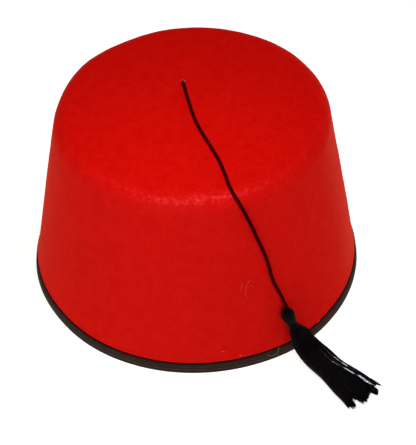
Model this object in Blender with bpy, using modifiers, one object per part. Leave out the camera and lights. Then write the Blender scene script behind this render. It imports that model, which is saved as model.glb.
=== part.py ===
"""A red felt fez with a bound rim and a black cord and tassel.

The hat stands on its rim: the origin is at the middle of the rim on the surface, +Z is up and
the front is -Y. The crown is one moulded felt body, the binding is a tape folded over its raw
edge, and the cord comes out of a small hole in the top, lies over the top and the side and ends
in a tassel whose skirt spreads on the surface in front of the hat.
"""

import math

import bmesh
import bpy
from mathutils import Vector

MM = 0.001
GAP = 0.3 * MM  # left between pieces that touch

# --- crown -----------------------------------------------------------------------------------
CROWN_HEIGHT = 113.0 * MM
RIM_RADIUS = 94.5 * MM  # outside of the felt, carried down to the surface
TOP_RADIUS = 76.0 * MM  # outside of the felt, carried up to the sharp corner
TOP_EDGE_RADIUS = 9.0 * MM
FELT = 2.0 * MM
ROUND_STEPS = 96  # facets round the hat
WELD_DISTANCE = 0.01 * MM  # closes a turned shape where its profile meets itself
ARC_STEPS = 6  # facets in the rounded top edge
SIDE_RINGS_MM = (28.0, 54.0, 80.0)  # heights of the rings of points on the side
TOP_RING = 34.0 * MM  # radius of the ring of points on the top

# --- binding ---------------------------------------------------------------------------------
TAPE = 1.0 * MM
BINDING_OUTSIDE_HEIGHT = 6.8 * MM
BINDING_INSIDE_HEIGHT = 6.0 * MM
BINDING_PROUD = 0.6 * MM  # how far the tape stands out from the felt above it
FELT_STEP = 0.5 * MM  # height over which the felt steps in above the tape
TAPE_EDGE = 0.35 * MM  # softened edges of the tape

# --- hole and cord ---------------------------------------------------------------------------
HOLE_CENTRE = (-4.5 * MM, 20.5 * MM)
HOLE_RADIUS = 2.35 * MM
HOLE_SEGMENTS = 24
CORD_RADIUS = 1.0 * MM
CORD_STEP = 5.0 * MM  # distance between the points of the tube
# The middle of the cord from under the top to the head of the tassel, in millimetres.
CORD_ROUTE_MM = (
    (-4.7, 21.4, 111.2),
    (-4.7, 21.3, 112.1),
    (-4.6, 20.4, 113.3),
    (-4.4, 18.5, 114.2),
    (-4.0, 15.8, 114.4),
    (-3.1, 11.0, 114.3),
    (-1.3, 2.2, 114.3),
    (0.6, -6.7, 114.3),
    (2.8, -15.0, 114.3),
    (5.4, -22.8, 114.3),
    (8.2, -30.2, 114.3),
    (10.9, -37.2, 114.3),
    (13.2, -44.0, 114.3),
    (15.0, -50.8, 114.3),
    (16.3, -56.4, 114.35),
    (17.3, -61.0, 114.35),
    (18.4, -65.2, 114.35),
    (19.4, -68.3, 114.0),
    (20.4, -70.6, 113.0),
    (21.5, -72.3, 111.6),
    (22.8, -73.7, 109.6),
    (24.0, -74.5, 107.3),
    (25.3, -74.7, 104.5),
    (26.5, -74.75, 101.4),
    (28.9, -74.8, 95.5),
    (31.3, -74.9, 89.2),
    (33.6, -75.1, 82.9),
    (35.9, -75.3, 76.1),
    (38.0, -75.5, 69.3),
    (39.7, -75.8, 62.3),
    (41.2, -76.3, 55.5),
    (42.8, -76.6, 49.4),
    (44.6, -76.8, 43.4),
    (46.0, -77.9, 39.8),
    (47.4, -79.1, 36.3),
    (48.4, -79.5, 33.6),
)

# --- tassel ----------------------------------------------------------------------------------
HEAD_CENTRE_MM = (49.9, -79.9, 29.5)
TASSEL_AXIS = Vector((0.345, -0.086, -0.935)).normalized()  # from the cord's end to the skirt
HEAD_RADIUS = 4.2 * MM
HEAD_TOP_FLAT = 1.2 * MM  # radius of the flat where the cord goes in
WAIST_RADIUS = 2.4 * MM
WAIST_DISTANCE = 6.3 * MM  # from the head's centre to the waist
HEAD_FULLNESS = 0.9  # exponent of the taper: less is fuller
TASSEL_STEPS = 24  # facets round the head and the neck
NECK_RADIUS = 2.3 * MM
NECK_LENGTH = 2.2 * MM
NECK_EDGE = 0.5 * MM
SKIRT_SIDES = 24
SKIRT_SQUARENESS = 2.4  # exponent of the section: 2 is an ellipse
# Sections of the skirt, in millimetres.
SKIRT_ROWS = (
    # x, y, z, half_width, half_thickness
    (53.04, -80.68, 21.0, 2.3, 2.3),
    (54.9, -81.6, 18.2, 4.3, 3.0),
    (57.0, -82.6, 15.0, 5.9, 3.4),
    (59.2, -84.7, 11.4, 6.8, 3.7),
    (61.9, -87.9, 8.4, 7.3, 3.8),
    (66.2, -93.0, 6.0, 7.5, 3.9),
    (72.4, -99.9, 4.7, 7.8, 3.9),
    (80.0, -108.6, 4.1, 9.2, 3.6),
    (85.7, -115.1, 3.7, 10.3, 3.3),
    (90.2, -120.3, 3.3, 11.6, 2.9),
)

# --- stop knot under the top -----------------------------------------------------------------
KNOT_RADIUS = 3.0 * MM
KNOT_HEIGHT = 4.4 * MM
KNOT_SEGMENTS = 20
KNOT_RINGS = 10

# Places where the soft felt stands out from, or falls in from, the plain turned shape.
FELT_SWELLINGS = (
    # azimuth_deg, height_mm, spread_deg, spread_mm, outwards_mm
    (200.0, 100.0, 14.0, 24.0, 0.7),
    (166.0, 113.0, 13.0, 22.0, -0.9),
    (118.0, 113.0, 14.0, 22.0, -1.0),
    (48.0, 113.0, 24.0, 26.0, 0.8),
    (-6.0, 113.0, 16.0, 22.0, -0.5),
    (-140.0, 113.0, 20.0, 14.0, -0.7),
)
SWELLING_FLOOR = 20.0 * MM  # below this height the felt stays round for its binding

COLOURS = {
    # name: (linear base colour, roughness)
    "red_felt": ((0.55, 0.006, 0.004, 1.0), 0.95),
    "charcoal_tape": ((0.035, 0.022, 0.019, 1.0), 0.85),
    "black_cord": ((0.006, 0.006, 0.007, 1.0), 0.5),
    "black_floss": ((0.005, 0.005, 0.007, 1.0), 0.3),
}

CUTTERS = "cutters"
HAT = "fez_hat"


def clear_scene():
    """Start from an empty scene."""
    for obj in list(bpy.data.objects):
        bpy.data.objects.remove(obj)


def collection(name):
    """A new collection under the scene's own."""
    made = bpy.data.collections.new(name)
    bpy.context.scene.collection.children.link(made)
    return made


def material(name):
    """A Principled material with one of the part's colours."""
    colour, roughness = COLOURS[name]
    made = bpy.data.materials.new(name)
    made.use_nodes = True
    shader = made.node_tree.nodes["Principled BSDF"]
    shader.inputs["Base Color"].default_value = colour
    shader.inputs["Roughness"].default_value = roughness
    shader.inputs["Metallic"].default_value = 0.0
    return made


def add_object(name, data, home, finish=None):
    """Put mesh or curve data into a collection as a named object."""
    obj = bpy.data.objects.new(name, data)
    home.objects.link(obj)
    if finish is not None:
        data.materials.append(finish)
    return obj


def turned_object(name, outline, closed, steps, home, finish):
    """A profile of (radius, height) points turned round the Z axis.

    The outline runs down its outer side, so that the faces point out.
    """
    mesh = bpy.data.meshes.new(name)
    points = [(radius, 0.0, height) for radius, height in outline]
    edges = [(i, i + 1) for i in range(len(points) - 1)]
    if closed:
        edges.append((len(points) - 1, 0))
    mesh.from_pydata(points, edges, [])
    obj = add_object(name, mesh, home, finish)
    screw = obj.modifiers.new("turn", "SCREW")
    screw.axis = "Z"
    screw.steps = screw.render_steps = steps
    screw.use_merge_vertices = True
    screw.merge_threshold = WELD_DISTANCE
    screw.use_smooth_shade = True
    return obj


def baked_mesh(obj):
    """The object's mesh with its modifiers applied, which then stands in for the object's own."""
    depsgraph = bpy.context.evaluated_depsgraph_get()
    mesh = bpy.data.meshes.new_from_object(obj.evaluated_get(depsgraph))
    obj.modifiers.clear()
    obj.data = mesh
    return mesh


def arc(centre, radius, start_deg, end_deg, steps):
    """Points of an arc in the (radius, height) plane, ends included."""
    angles = [math.radians(start_deg + (end_deg - start_deg) * k / steps) for k in range(steps + 1)]
    return [(centre[0] + radius * math.cos(a), centre[1] + radius * math.sin(a)) for a in angles]


def felt_radius(height):
    """Radius of the straight outer side at a height."""
    return RIM_RADIUS + (TOP_RADIUS - RIM_RADIUS) * height / CROWN_HEIGHT


def side_angle_deg():
    """Direction of the side's outward normal above the horizontal."""
    return math.degrees(math.atan2(RIM_RADIUS - TOP_RADIUS, CROWN_HEIGHT))


def top_edge_centre():
    """Centre of the rounded top edge's arc in the (radius, height) plane."""
    half_turn = math.radians(90.0 - side_angle_deg()) / 2.0
    return (TOP_RADIUS - TOP_EDGE_RADIUS * math.tan(half_turn), CROWN_HEIGHT - TOP_EDGE_RADIUS)


def crown_outline():
    """Half section of the felt: top, outer side, raw edge, inner side and the top's underside."""
    centre = top_edge_centre()
    slope = side_angle_deg()
    recess = BINDING_PROUD - TAPE - GAP  # the felt is pressed thinner under the tape
    raw_edge = TAPE + GAP
    tape_top = BINDING_OUTSIDE_HEIGHT + GAP
    outer = [(0.0, CROWN_HEIGHT), (TOP_RING, CROWN_HEIGHT)]
    outer += arc(centre, TOP_EDGE_RADIUS, 90.0, slope, ARC_STEPS)
    outer += [(felt_radius(h * MM), h * MM) for h in reversed(SIDE_RINGS_MM)]
    outer += [(felt_radius(tape_top + FELT_STEP), tape_top + FELT_STEP)]
    outer += [(felt_radius(tape_top) + recess, tape_top), (felt_radius(raw_edge) + recess, raw_edge)]
    inner = [(felt_radius(raw_edge) - FELT, raw_edge)]
    inner += [(felt_radius(h * MM) - FELT, h * MM) for h in SIDE_RINGS_MM]
    inner += arc(centre, TOP_EDGE_RADIUS - FELT, slope, 90.0, ARC_STEPS)
    inner += [(TOP_RING, CROWN_HEIGHT - FELT), (0.0, CROWN_HEIGHT - FELT)]
    return outer + inner


def swelling(azimuth_deg, height):
    """How far the felt stands outwards at an azimuth and a height."""
    total = 0.0
    for middle_deg, middle_mm, spread_deg, spread_mm, outwards_mm in FELT_SWELLINGS:
        turn = (azimuth_deg - middle_deg + 180.0) % 360.0 - 180.0
        rise = height / MM - middle_mm
        total += outwards_mm * MM * math.exp(-((turn / spread_deg) ** 2) - (rise / spread_mm) ** 2)
    fade = min(max((height - SWELLING_FLOOR) / SWELLING_FLOOR, 0.0), 1.0)
    return total * fade


def swell_felt(mesh):
    """Move the turned felt in and out where the soft hat isn't quite round."""
    for vertex in mesh.vertices:
        x, y, z = vertex.co
        azimuth_deg = math.degrees(math.atan2(y, x))
        grow = 1.0 + swelling(azimuth_deg, z) / felt_radius(z)
        vertex.co = (x * grow, y * grow, z)


def build_crown(home, cutters):
    """The felt body with the hole for the cord."""
    crown = turned_object("crown", crown_outline(), False, ROUND_STEPS, home, material("red_felt"))
    swell_felt(baked_mesh(crown))
    cutter_mesh = bpy.data.meshes.new("hole_cutter")
    shape = bmesh.new()
    bmesh.ops.create_cone(
        shape,
        cap_ends=True,
        segments=HOLE_SEGMENTS,
        radius1=HOLE_RADIUS,
        radius2=HOLE_RADIUS,
        depth=4 * FELT,
    )
    shape.to_mesh(cutter_mesh)
    shape.free()
    cutter = add_object("hole_cutter", cutter_mesh, cutters)
    cutter.location = (*HOLE_CENTRE, CROWN_HEIGHT - FELT / 2)
    cutter.hide_render = True
    cutter.display_type = "WIRE"
    cut = crown.modifiers.new("cord_hole", "BOOLEAN")
    cut.operation = "DIFFERENCE"
    cut.solver = "EXACT"
    cut.object = cutter
    return crown


def binding_outline():
    """Section of the tape folded round the raw edge, as a closed U."""
    outside, inside = BINDING_PROUD, -FELT - GAP - TAPE

    def place(offset, height):
        return (felt_radius(height) + offset, height)

    return [
        place(outside - TAPE_EDGE, BINDING_OUTSIDE_HEIGHT),
        place(outside, BINDING_OUTSIDE_HEIGHT - TAPE_EDGE),
        place(outside, TAPE_EDGE),
        place(outside - TAPE_EDGE, 0.0),
        place(inside + TAPE_EDGE, 0.0),
        place(inside, TAPE_EDGE),
        place(inside, BINDING_INSIDE_HEIGHT - TAPE_EDGE),
        place(inside + TAPE_EDGE, BINDING_INSIDE_HEIGHT),
        place(inside + TAPE, BINDING_INSIDE_HEIGHT),
        place(inside + TAPE, TAPE),
        place(outside - TAPE, TAPE),
        place(outside - TAPE, BINDING_OUTSIDE_HEIGHT),
    ]


def build_binding(home):
    """The tape round the rim, whose flat underside carries the hat."""
    finish = material("charcoal_tape")
    return turned_object("rim_binding", binding_outline(), True, ROUND_STEPS, home, finish)


def smooth_route(points_mm, step):
    """Points about a step apart on a Catmull-Rom curve through the route's own points."""
    knots = [Vector(p) * MM for p in points_mm]
    knots = [2 * knots[0] - knots[1]] + knots + [2 * knots[-1] - knots[-2]]
    route = []
    for before, start, end, after in zip(knots, knots[1:], knots[2:], knots[3:]):
        pieces = max(1, round((end - start).length / step))
        for k in range(pieces):
            t = k / pieces
            route.append(
                0.5
                * (
                    2 * start
                    + (end - before) * t
                    + (2 * before - 5 * start + 4 * end - after) * t**2
                    + (3 * start - before - 3 * end + after) * t**3
                )
            )
    route.append(knots[-2])
    return route


def build_cord(home):
    """The twisted cord as a plain tube on its true route."""
    route = smooth_route(CORD_ROUTE_MM, CORD_STEP)
    curve = bpy.data.curves.new("tassel_cord", "CURVE")
    curve.dimensions = "3D"
    curve.bevel_depth = CORD_RADIUS
    curve.bevel_resolution = 2
    curve.use_fill_caps = True
    spline = curve.splines.new("POLY")
    spline.points.add(len(route) - 1)
    for point, place in zip(spline.points, route):
        point.co = (*place, 1.0)
    return add_object("tassel_cord", curve, home, material("black_cord"))


def build_stop_knot(home):
    """The knot under the top that keeps the cord from being pulled out."""
    mesh = bpy.data.meshes.new("cord_knot")
    shape = bmesh.new()
    bmesh.ops.create_uvsphere(
        shape, u_segments=KNOT_SEGMENTS, v_segments=KNOT_RINGS, radius=KNOT_RADIUS
    )
    bmesh.ops.scale(shape, vec=(1.0, 1.0, KNOT_HEIGHT / (2 * KNOT_RADIUS)), verts=shape.verts)
    shape.to_mesh(mesh)
    shape.free()
    mesh.shade_smooth()
    knot = add_object("cord_knot", mesh, home, material("black_cord"))
    x, y, z = (value * MM for value in CORD_ROUTE_MM[0])
    knot.location = (x, y, z - GAP - KNOT_HEIGHT / 2)
    return knot


def stand_along(obj, place, direction):
    """Put an object's origin at a place with its own -Z along a direction."""
    obj.location = place
    obj.rotation_mode = "QUATERNION"
    obj.rotation_quaternion = (-direction).to_track_quat("Z", "X")


def head_outline():
    """Half section of the tassel's head: a ball that tapers to the waist."""
    start = math.degrees(math.acos(HEAD_TOP_FLAT / HEAD_RADIUS))
    outline = [(0.0, HEAD_RADIUS * math.sin(math.radians(start)))]
    outline += arc((0.0, 0.0), HEAD_RADIUS, start, 0.0, ARC_STEPS)
    for k in range(1, ARC_STEPS + 1):
        along = k / ARC_STEPS
        fullness = math.cos(math.pi / 2 * along) ** HEAD_FULLNESS
        radius = WAIST_RADIUS + (HEAD_RADIUS - WAIST_RADIUS) * fullness
        outline.append((radius, -WAIST_DISTANCE * along))
    return outline + [(0.0, -WAIST_DISTANCE)]


def build_head(home):
    """The knotted head of the tassel."""
    finish = material("black_floss")
    head = turned_object("tassel_head", head_outline(), False, TASSEL_STEPS, home, finish)
    stand_along(head, Vector(HEAD_CENTRE_MM) * MM, TASSEL_AXIS)
    return head


def build_neck(home):
    """The thread wound round the waist, as its outer form."""
    half = NECK_LENGTH / 2
    outline = [
        (0.0, half),
        (NECK_RADIUS - NECK_EDGE, half),
        (NECK_RADIUS, half - NECK_EDGE),
        (NECK_RADIUS, NECK_EDGE - half),
        (NECK_RADIUS - NECK_EDGE, -half),
        (0.0, -half),
    ]
    finish = material("black_floss")
    neck = turned_object("tassel_neck", outline, False, TASSEL_STEPS, home, finish)
    middle = WAIST_DISTANCE + GAP + half
    stand_along(neck, Vector(HEAD_CENTRE_MM) * MM + TASSEL_AXIS * middle, TASSEL_AXIS)
    return neck


def skirt_ring(centre, tangent, half_width, half_thickness):
    """One section of the skirt, flattened where it would go into the surface."""
    side = tangent.cross(Vector((0.0, 0.0, 1.0))).normalized()
    up = side.cross(tangent).normalized()
    ring = []
    for k in range(SKIRT_SIDES):
        angle = 2 * math.pi * k / SKIRT_SIDES
        across = math.copysign(abs(math.cos(angle)) ** (2 / SKIRT_SQUARENESS), math.cos(angle))
        rise = math.copysign(abs(math.sin(angle)) ** (2 / SKIRT_SQUARENESS), math.sin(angle))
        point = centre + side * (half_width * across) + up * (half_thickness * rise)
        point.z = max(point.z, GAP)
        ring.append(point)
    return ring


def build_skirt(home):
    """The outer form of the floss, lofted through its sections."""
    centres = [Vector(row[:3]) * MM for row in SKIRT_ROWS]
    mesh = bpy.data.meshes.new("tassel_skirt")
    shape = bmesh.new()
    rings = []
    for i, (row, centre) in enumerate(zip(SKIRT_ROWS, centres)):
        ahead = centres[min(i + 1, len(centres) - 1)]
        behind = centres[max(i - 1, 0)]
        tangent = TASSEL_AXIS if i == 0 else (ahead - behind).normalized()
        ring = skirt_ring(centre, tangent, row[3] * MM, row[4] * MM)
        rings.append([shape.verts.new(point) for point in ring])
    for lower, upper in zip(rings, rings[1:]):
        for k in range(SKIRT_SIDES):
            follow = (k + 1) % SKIRT_SIDES
            shape.faces.new((lower[k], lower[follow], upper[follow], upper[k]))
    shape.faces.new(rings[0][::-1])
    shape.faces.new(rings[-1])
    bmesh.ops.recalc_face_normals(shape, faces=shape.faces)
    shape.to_mesh(mesh)
    shape.free()
    mesh.shade_smooth()
    return add_object("tassel_skirt", mesh, home, material("black_floss"))


def main():
    """Build the hat."""
    clear_scene()
    hat = collection(HAT)
    cutters = collection(CUTTERS)
    build_crown(hat, cutters)
    build_binding(hat)
    build_cord(hat)
    build_stop_knot(hat)
    build_head(hat)
    build_neck(hat)
    build_skirt(hat)


main()
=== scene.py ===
"""A red felt fez with a bound rim and a black cord and tassel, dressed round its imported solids.

Every class builds the look of one sub-assembly in the place of the solid that it stands for, and
every finish is named for the real material. Lengths are in metres, and a name that ends in _mm
or _MM is in millimetres. The hat stands on its rim at the origin, +Z is up and the front is -Y.
"""

from __future__ import annotations

import logging
import math
from collections.abc import Mapping, Sequence
from dataclasses import dataclass, field
from enum import Enum
from typing import Any

import bpy
import numpy as np
from mathutils import Matrix, Vector, noise

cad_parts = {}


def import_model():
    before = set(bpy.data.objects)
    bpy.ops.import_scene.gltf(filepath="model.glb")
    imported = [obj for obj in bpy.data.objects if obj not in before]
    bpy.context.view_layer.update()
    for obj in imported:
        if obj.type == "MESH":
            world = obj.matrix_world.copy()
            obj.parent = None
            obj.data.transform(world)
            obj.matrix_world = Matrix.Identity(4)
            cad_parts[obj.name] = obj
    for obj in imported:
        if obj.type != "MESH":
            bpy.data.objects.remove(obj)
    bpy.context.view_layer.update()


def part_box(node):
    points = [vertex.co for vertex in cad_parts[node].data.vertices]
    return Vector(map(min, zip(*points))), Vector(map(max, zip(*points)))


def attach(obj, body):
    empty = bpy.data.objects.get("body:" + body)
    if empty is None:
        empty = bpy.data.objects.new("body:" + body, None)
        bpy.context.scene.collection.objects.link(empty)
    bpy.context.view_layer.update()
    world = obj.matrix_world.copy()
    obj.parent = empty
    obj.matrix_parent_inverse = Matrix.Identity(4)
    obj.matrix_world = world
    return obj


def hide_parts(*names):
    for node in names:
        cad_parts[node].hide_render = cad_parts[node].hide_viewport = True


log = logging.getLogger("fez")

Array = np.ndarray
MM = 0.001
BODY = "root"
UV_NAME = "lay"  # along a strand and round it, in metres
EDGE_HIGHLIGHT_NAME = "painted_edge_highlight"  # how strongly the painted highlight along the top's edge goes on, from 0 to 1
SIDE_SHEEN_NAME = "painted_side_sheen"  # how much painted sheen the side takes, standing for the pale table reflected there, from 0 to 1
SEED = 7
SRGB_KNEE, SRGB_SLOPE, SRGB_OFFSET, SRGB_POWER = 0.04045, 12.92, 0.055, 2.4  # the standard's curve
TINY = 1e-12  # keeps a vector of no length from a division by zero
MIX_UNDER, MIX_OVER, MIX_RESULT = 6, 7, 2  # a Mix node's two colour inputs and its colour output
WAVE_BAND = 2 * math.pi / 20  # from band to band of a wave texture of scale 1, in metres


class Slot(str, Enum):
    """The record's material slots."""

    FELT = "red_felt"
    TAPE = "rim_tape"
    CORD = "twisted_cord"
    FLOSS = "tassel_floss"


class Twist(float, Enum):
    """Which way a rope is laid: S leans like the middle of an S, Z like that of a Z."""

    S = -1.0
    Z = 1.0


# --- small tools -------------------------------------------------------------------------------


def linear(hex_colour: str) -> tuple[float, float, float, float]:
    """Turn an sRGB hex value into the linear colour that a shader takes.

    Args:
        hex_colour: a colour such as "#C00000".

    Returns:
        Linear red, green, blue and an alpha of 1.
    """
    shares = [int(hex_colour[k : k + 2], 16) / 255.0 for k in (1, 3, 5)]
    dark = [share / SRGB_SLOPE for share in shares]
    pale = [((share + SRGB_OFFSET) / (1.0 + SRGB_OFFSET)) ** SRGB_POWER for share in shares]
    values = [low if share <= SRGB_KNEE else high for share, low, high in zip(shares, dark, pale)]
    return (*values, 1.0)


def smooth_step(value: Array | float, low: float, high: float) -> Array | float:
    """A soft ramp from 0 at low to 1 at high.

    Args:
        value: the number or numbers to map.
        low: where the ramp starts.
        high: where the ramp ends.

    Returns:
        The ramp's height, from 0 to 1.
    """
    share = np.clip((np.asarray(value, float) - low) / (high - low), 0.0, 1.0)
    return share * share * (3.0 - 2.0 * share)


def unit(vectors: Array) -> Array:
    """The vectors at length 1, along the last axis."""
    return vectors / np.maximum(np.linalg.norm(vectors, axis=-1, keepdims=True), TINY)


def turned_from(angle: Array, middle: float, whole: float = 360.0) -> Array:
    """How far angles are turned from a middle one, from minus to plus half a whole turn."""
    return (angle - middle + whole / 2) % whole - whole / 2


def through(knots: Sequence[Sequence[float]], step: float) -> Array:
    """Rows about a step apart on a Catmull-Rom curve through rows of numbers.

    Args:
        knots: the rows, whose first three numbers are a place in millimetres.
        step: the distance between the new rows, in metres.

    Returns:
        The new rows, in metres.
    """
    rows = np.array(knots, float) * MM
    rows = np.vstack([2 * rows[0] - rows[1], rows, 2 * rows[-1] - rows[-2]])
    made = []
    for before, start, end, after in zip(rows, rows[1:], rows[2:], rows[3:]):
        pieces = max(1, round(float(np.linalg.norm((end - start)[:3])) / step))
        t = (np.arange(pieces) / pieces)[:, None]
        bend = 2 * before - 5 * start + 4 * end - after
        ease = 3 * start - before - 3 * end + after
        made.append(0.5 * (2 * start + (end - before) * t + bend * t**2 + ease * t**3))
    return np.vstack([*made, rows[-2]])


def along_path(path: Array) -> Array:
    """The distance along a path at each of its points."""
    steps = np.linalg.norm(np.diff(path, axis=0), axis=1)
    return np.concatenate([[0.0], np.cumsum(steps)])


def carried_frames(
    path: Array, first: Array | None = None, too_close: float = 0.95
) -> tuple[Array, Array]:
    """Two cross directions carried along a path without turning round it.

    Args:
        path: the points of the path.
        first: about where the first direction points at the start.
        too_close: the cosine to the path from which another start is taken.

    Returns:
        The first and the second cross direction at each point.
    """
    tangents = unit(np.gradient(path, axis=0))
    hint = np.array([0.0, 0.0, 1.0]) if first is None else first
    if abs(float(tangents[0] @ unit(hint))) > too_close:
        hint = np.array([1.0, 0.0, 0.0])
    side = np.empty_like(path)
    for i, tangent in enumerate(tangents):
        last = side[i - 1] if i else hint
        side[i] = unit(last - tangent * float(last @ tangent))
    return side, np.cross(tangents, side)


@dataclass
class Strands:
    """Tubes of any section, gathered for one mesh with a UV map of metres along and round."""

    points: list[Array] = field(default_factory=list)
    faces: list[list[int]] = field(default_factory=list)
    uvs: list[Array] = field(default_factory=list)
    count: int = 0

    def add(self, rings: Array, joined: bool = False) -> None:
        """Add one tube.

        Args:
            rings: the points of its sections, as (sections, points round, 3), which run
                anticlockwise seen from the tube's far end.
            joined: whether the last section meets the first, as in a ring.
        """
        rows, round_ = rings.shape[:2]
        grid = self.count + np.arange(rows * round_).reshape(rows, round_)
        i = np.arange(rows if joined else rows - 1)[:, None]
        j = np.arange(round_)[None, :]
        i_next, j_next = (i + 1) % rows, (j + 1) % round_
        corners = [(i, j), (i, j_next), (i_next, j_next), (i_next, j)]
        quads = np.stack([grid[a, b] + 0 * (i + j) for a, b in corners], axis=-1)
        middle = rings.mean(axis=1)
        length = along_path(np.vstack([middle, middle[:1]]))
        width = along_path(np.vstack([rings[rows // 2], rings[rows // 2][:1]]))
        flat = [(length[i], width[j]), (length[i], width[j + 1])]
        flat += [(length[i + 1], width[j + 1]), (length[i + 1], width[j])]
        blank = np.zeros((len(i), round_))
        uv = np.stack([np.stack([u + blank, v + blank], axis=-1) for u, v in flat], axis=2)
        self.points.append(rings.reshape(-1, 3))
        self.faces += quads.reshape(-1, 4).tolist()
        self.uvs.append(uv.reshape(-1, 2))
        if not joined:
            self.faces += [grid[0][::-1].tolist(), grid[-1].tolist()]
            self.uvs.append(np.zeros((2 * round_, 2)))
        self.count += rows * round_

    def add_tube(self, path: Array, radius: Array | float, sides: int) -> None:
        """Add a round tube.

        Args:
            path: the points down its middle.
            radius: its radius, or one for each point.
            sides: the number of points round it.
        """
        turn = 2 * math.pi * np.arange(sides) / sides
        radii = np.broadcast_to(np.asarray(radius, float), (len(path),))[:, None, None]
        side, up = carried_frames(path)
        wave = np.cos(turn)[None, :, None] * side[:, None] + np.sin(turn)[None, :, None] * up[:, None]
        self.add(path[:, None] + radii * wave)

    def to_object(self, name: str, finish: bpy.types.Material) -> bpy.types.Object:
        """Make the mesh and its object.

        Args:
            name: the piece's name.
            finish: its material.

        Returns:
            The new object, in the scene's collection.
        """
        mesh = bpy.data.meshes.new(name)
        mesh.from_pydata(np.vstack(self.points).tolist(), [], self.faces)
        layer = mesh.uv_layers.new(name=UV_NAME)
        layer.data.foreach_set("uv", np.vstack(self.uvs).astype(np.float32).ravel())
        mesh.shade_smooth()
        mesh.materials.append(finish)
        obj = bpy.data.objects.new(name, mesh)
        bpy.context.scene.collection.objects.link(obj)
        return obj


def settle(obj: bpy.types.Object, slot: Slot, *nodes: str) -> bpy.types.Object:
    """Make a piece ride on the hat and hide the solids that it stands for.

    Args:
        obj: the piece.
        slot: the record's material slot; not used.
        *nodes: the solids that it replaces.

    Returns:
        The piece.
    """
    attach(obj, BODY)
    if nodes:
        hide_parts(*nodes)
    log.info("%s: %d faces", obj.name, len(obj.data.polygons))
    return obj


def feed(node: bpy.types.Node, inputs: Mapping[str | int, Any]) -> None:
    """Set or link a node's inputs.

    Args:
        node: the node.
        inputs: for each input, by name or number, its value or the socket that feeds it.
    """
    for key, value in inputs.items():
        if isinstance(value, bpy.types.NodeSocket):
            node.id_data.links.new(value, node.inputs[key])
        else:
            node.inputs[key].default_value = value


def add_node(
    tree: bpy.types.NodeTree,
    kind: str,
    inputs: Mapping[str | int, Any] | None = None,
    output: str | int = 0,
    **settings: Any,
) -> bpy.types.NodeSocket:
    """Add a node with its settings and links.

    Args:
        tree: the tree that it goes in.
        kind: the node's type, such as "ShaderNodeTexNoise".
        inputs: for each input, by name or number, its value or the socket that feeds it.
        output: which output is wanted, by name or number.
        **settings: the node's own properties.

    Returns:
        That output.
    """
    node = tree.nodes.new(kind)
    for name, value in settings.items():
        setattr(node, name, value)
    feed(node, inputs or {})
    return node.outputs[output]


def new_material(name: str) -> tuple[bpy.types.Material, bpy.types.NodeTree, bpy.types.Node]:
    """Make a material with a Principled shader.

    Args:
        name: the material's name.

    Returns:
        The material, its node tree and its shader node.
    """
    made = bpy.data.materials.new(name)
    made.use_nodes = True
    return made, made.node_tree, made.node_tree.nodes["Principled BSDF"]


def per_metre(size_mm: float) -> float:
    """How many times a pattern of this size in millimetres goes into a metre."""
    return 1.0 / (size_mm * MM)


# --- finishes ----------------------------------------------------------------------------------


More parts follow.
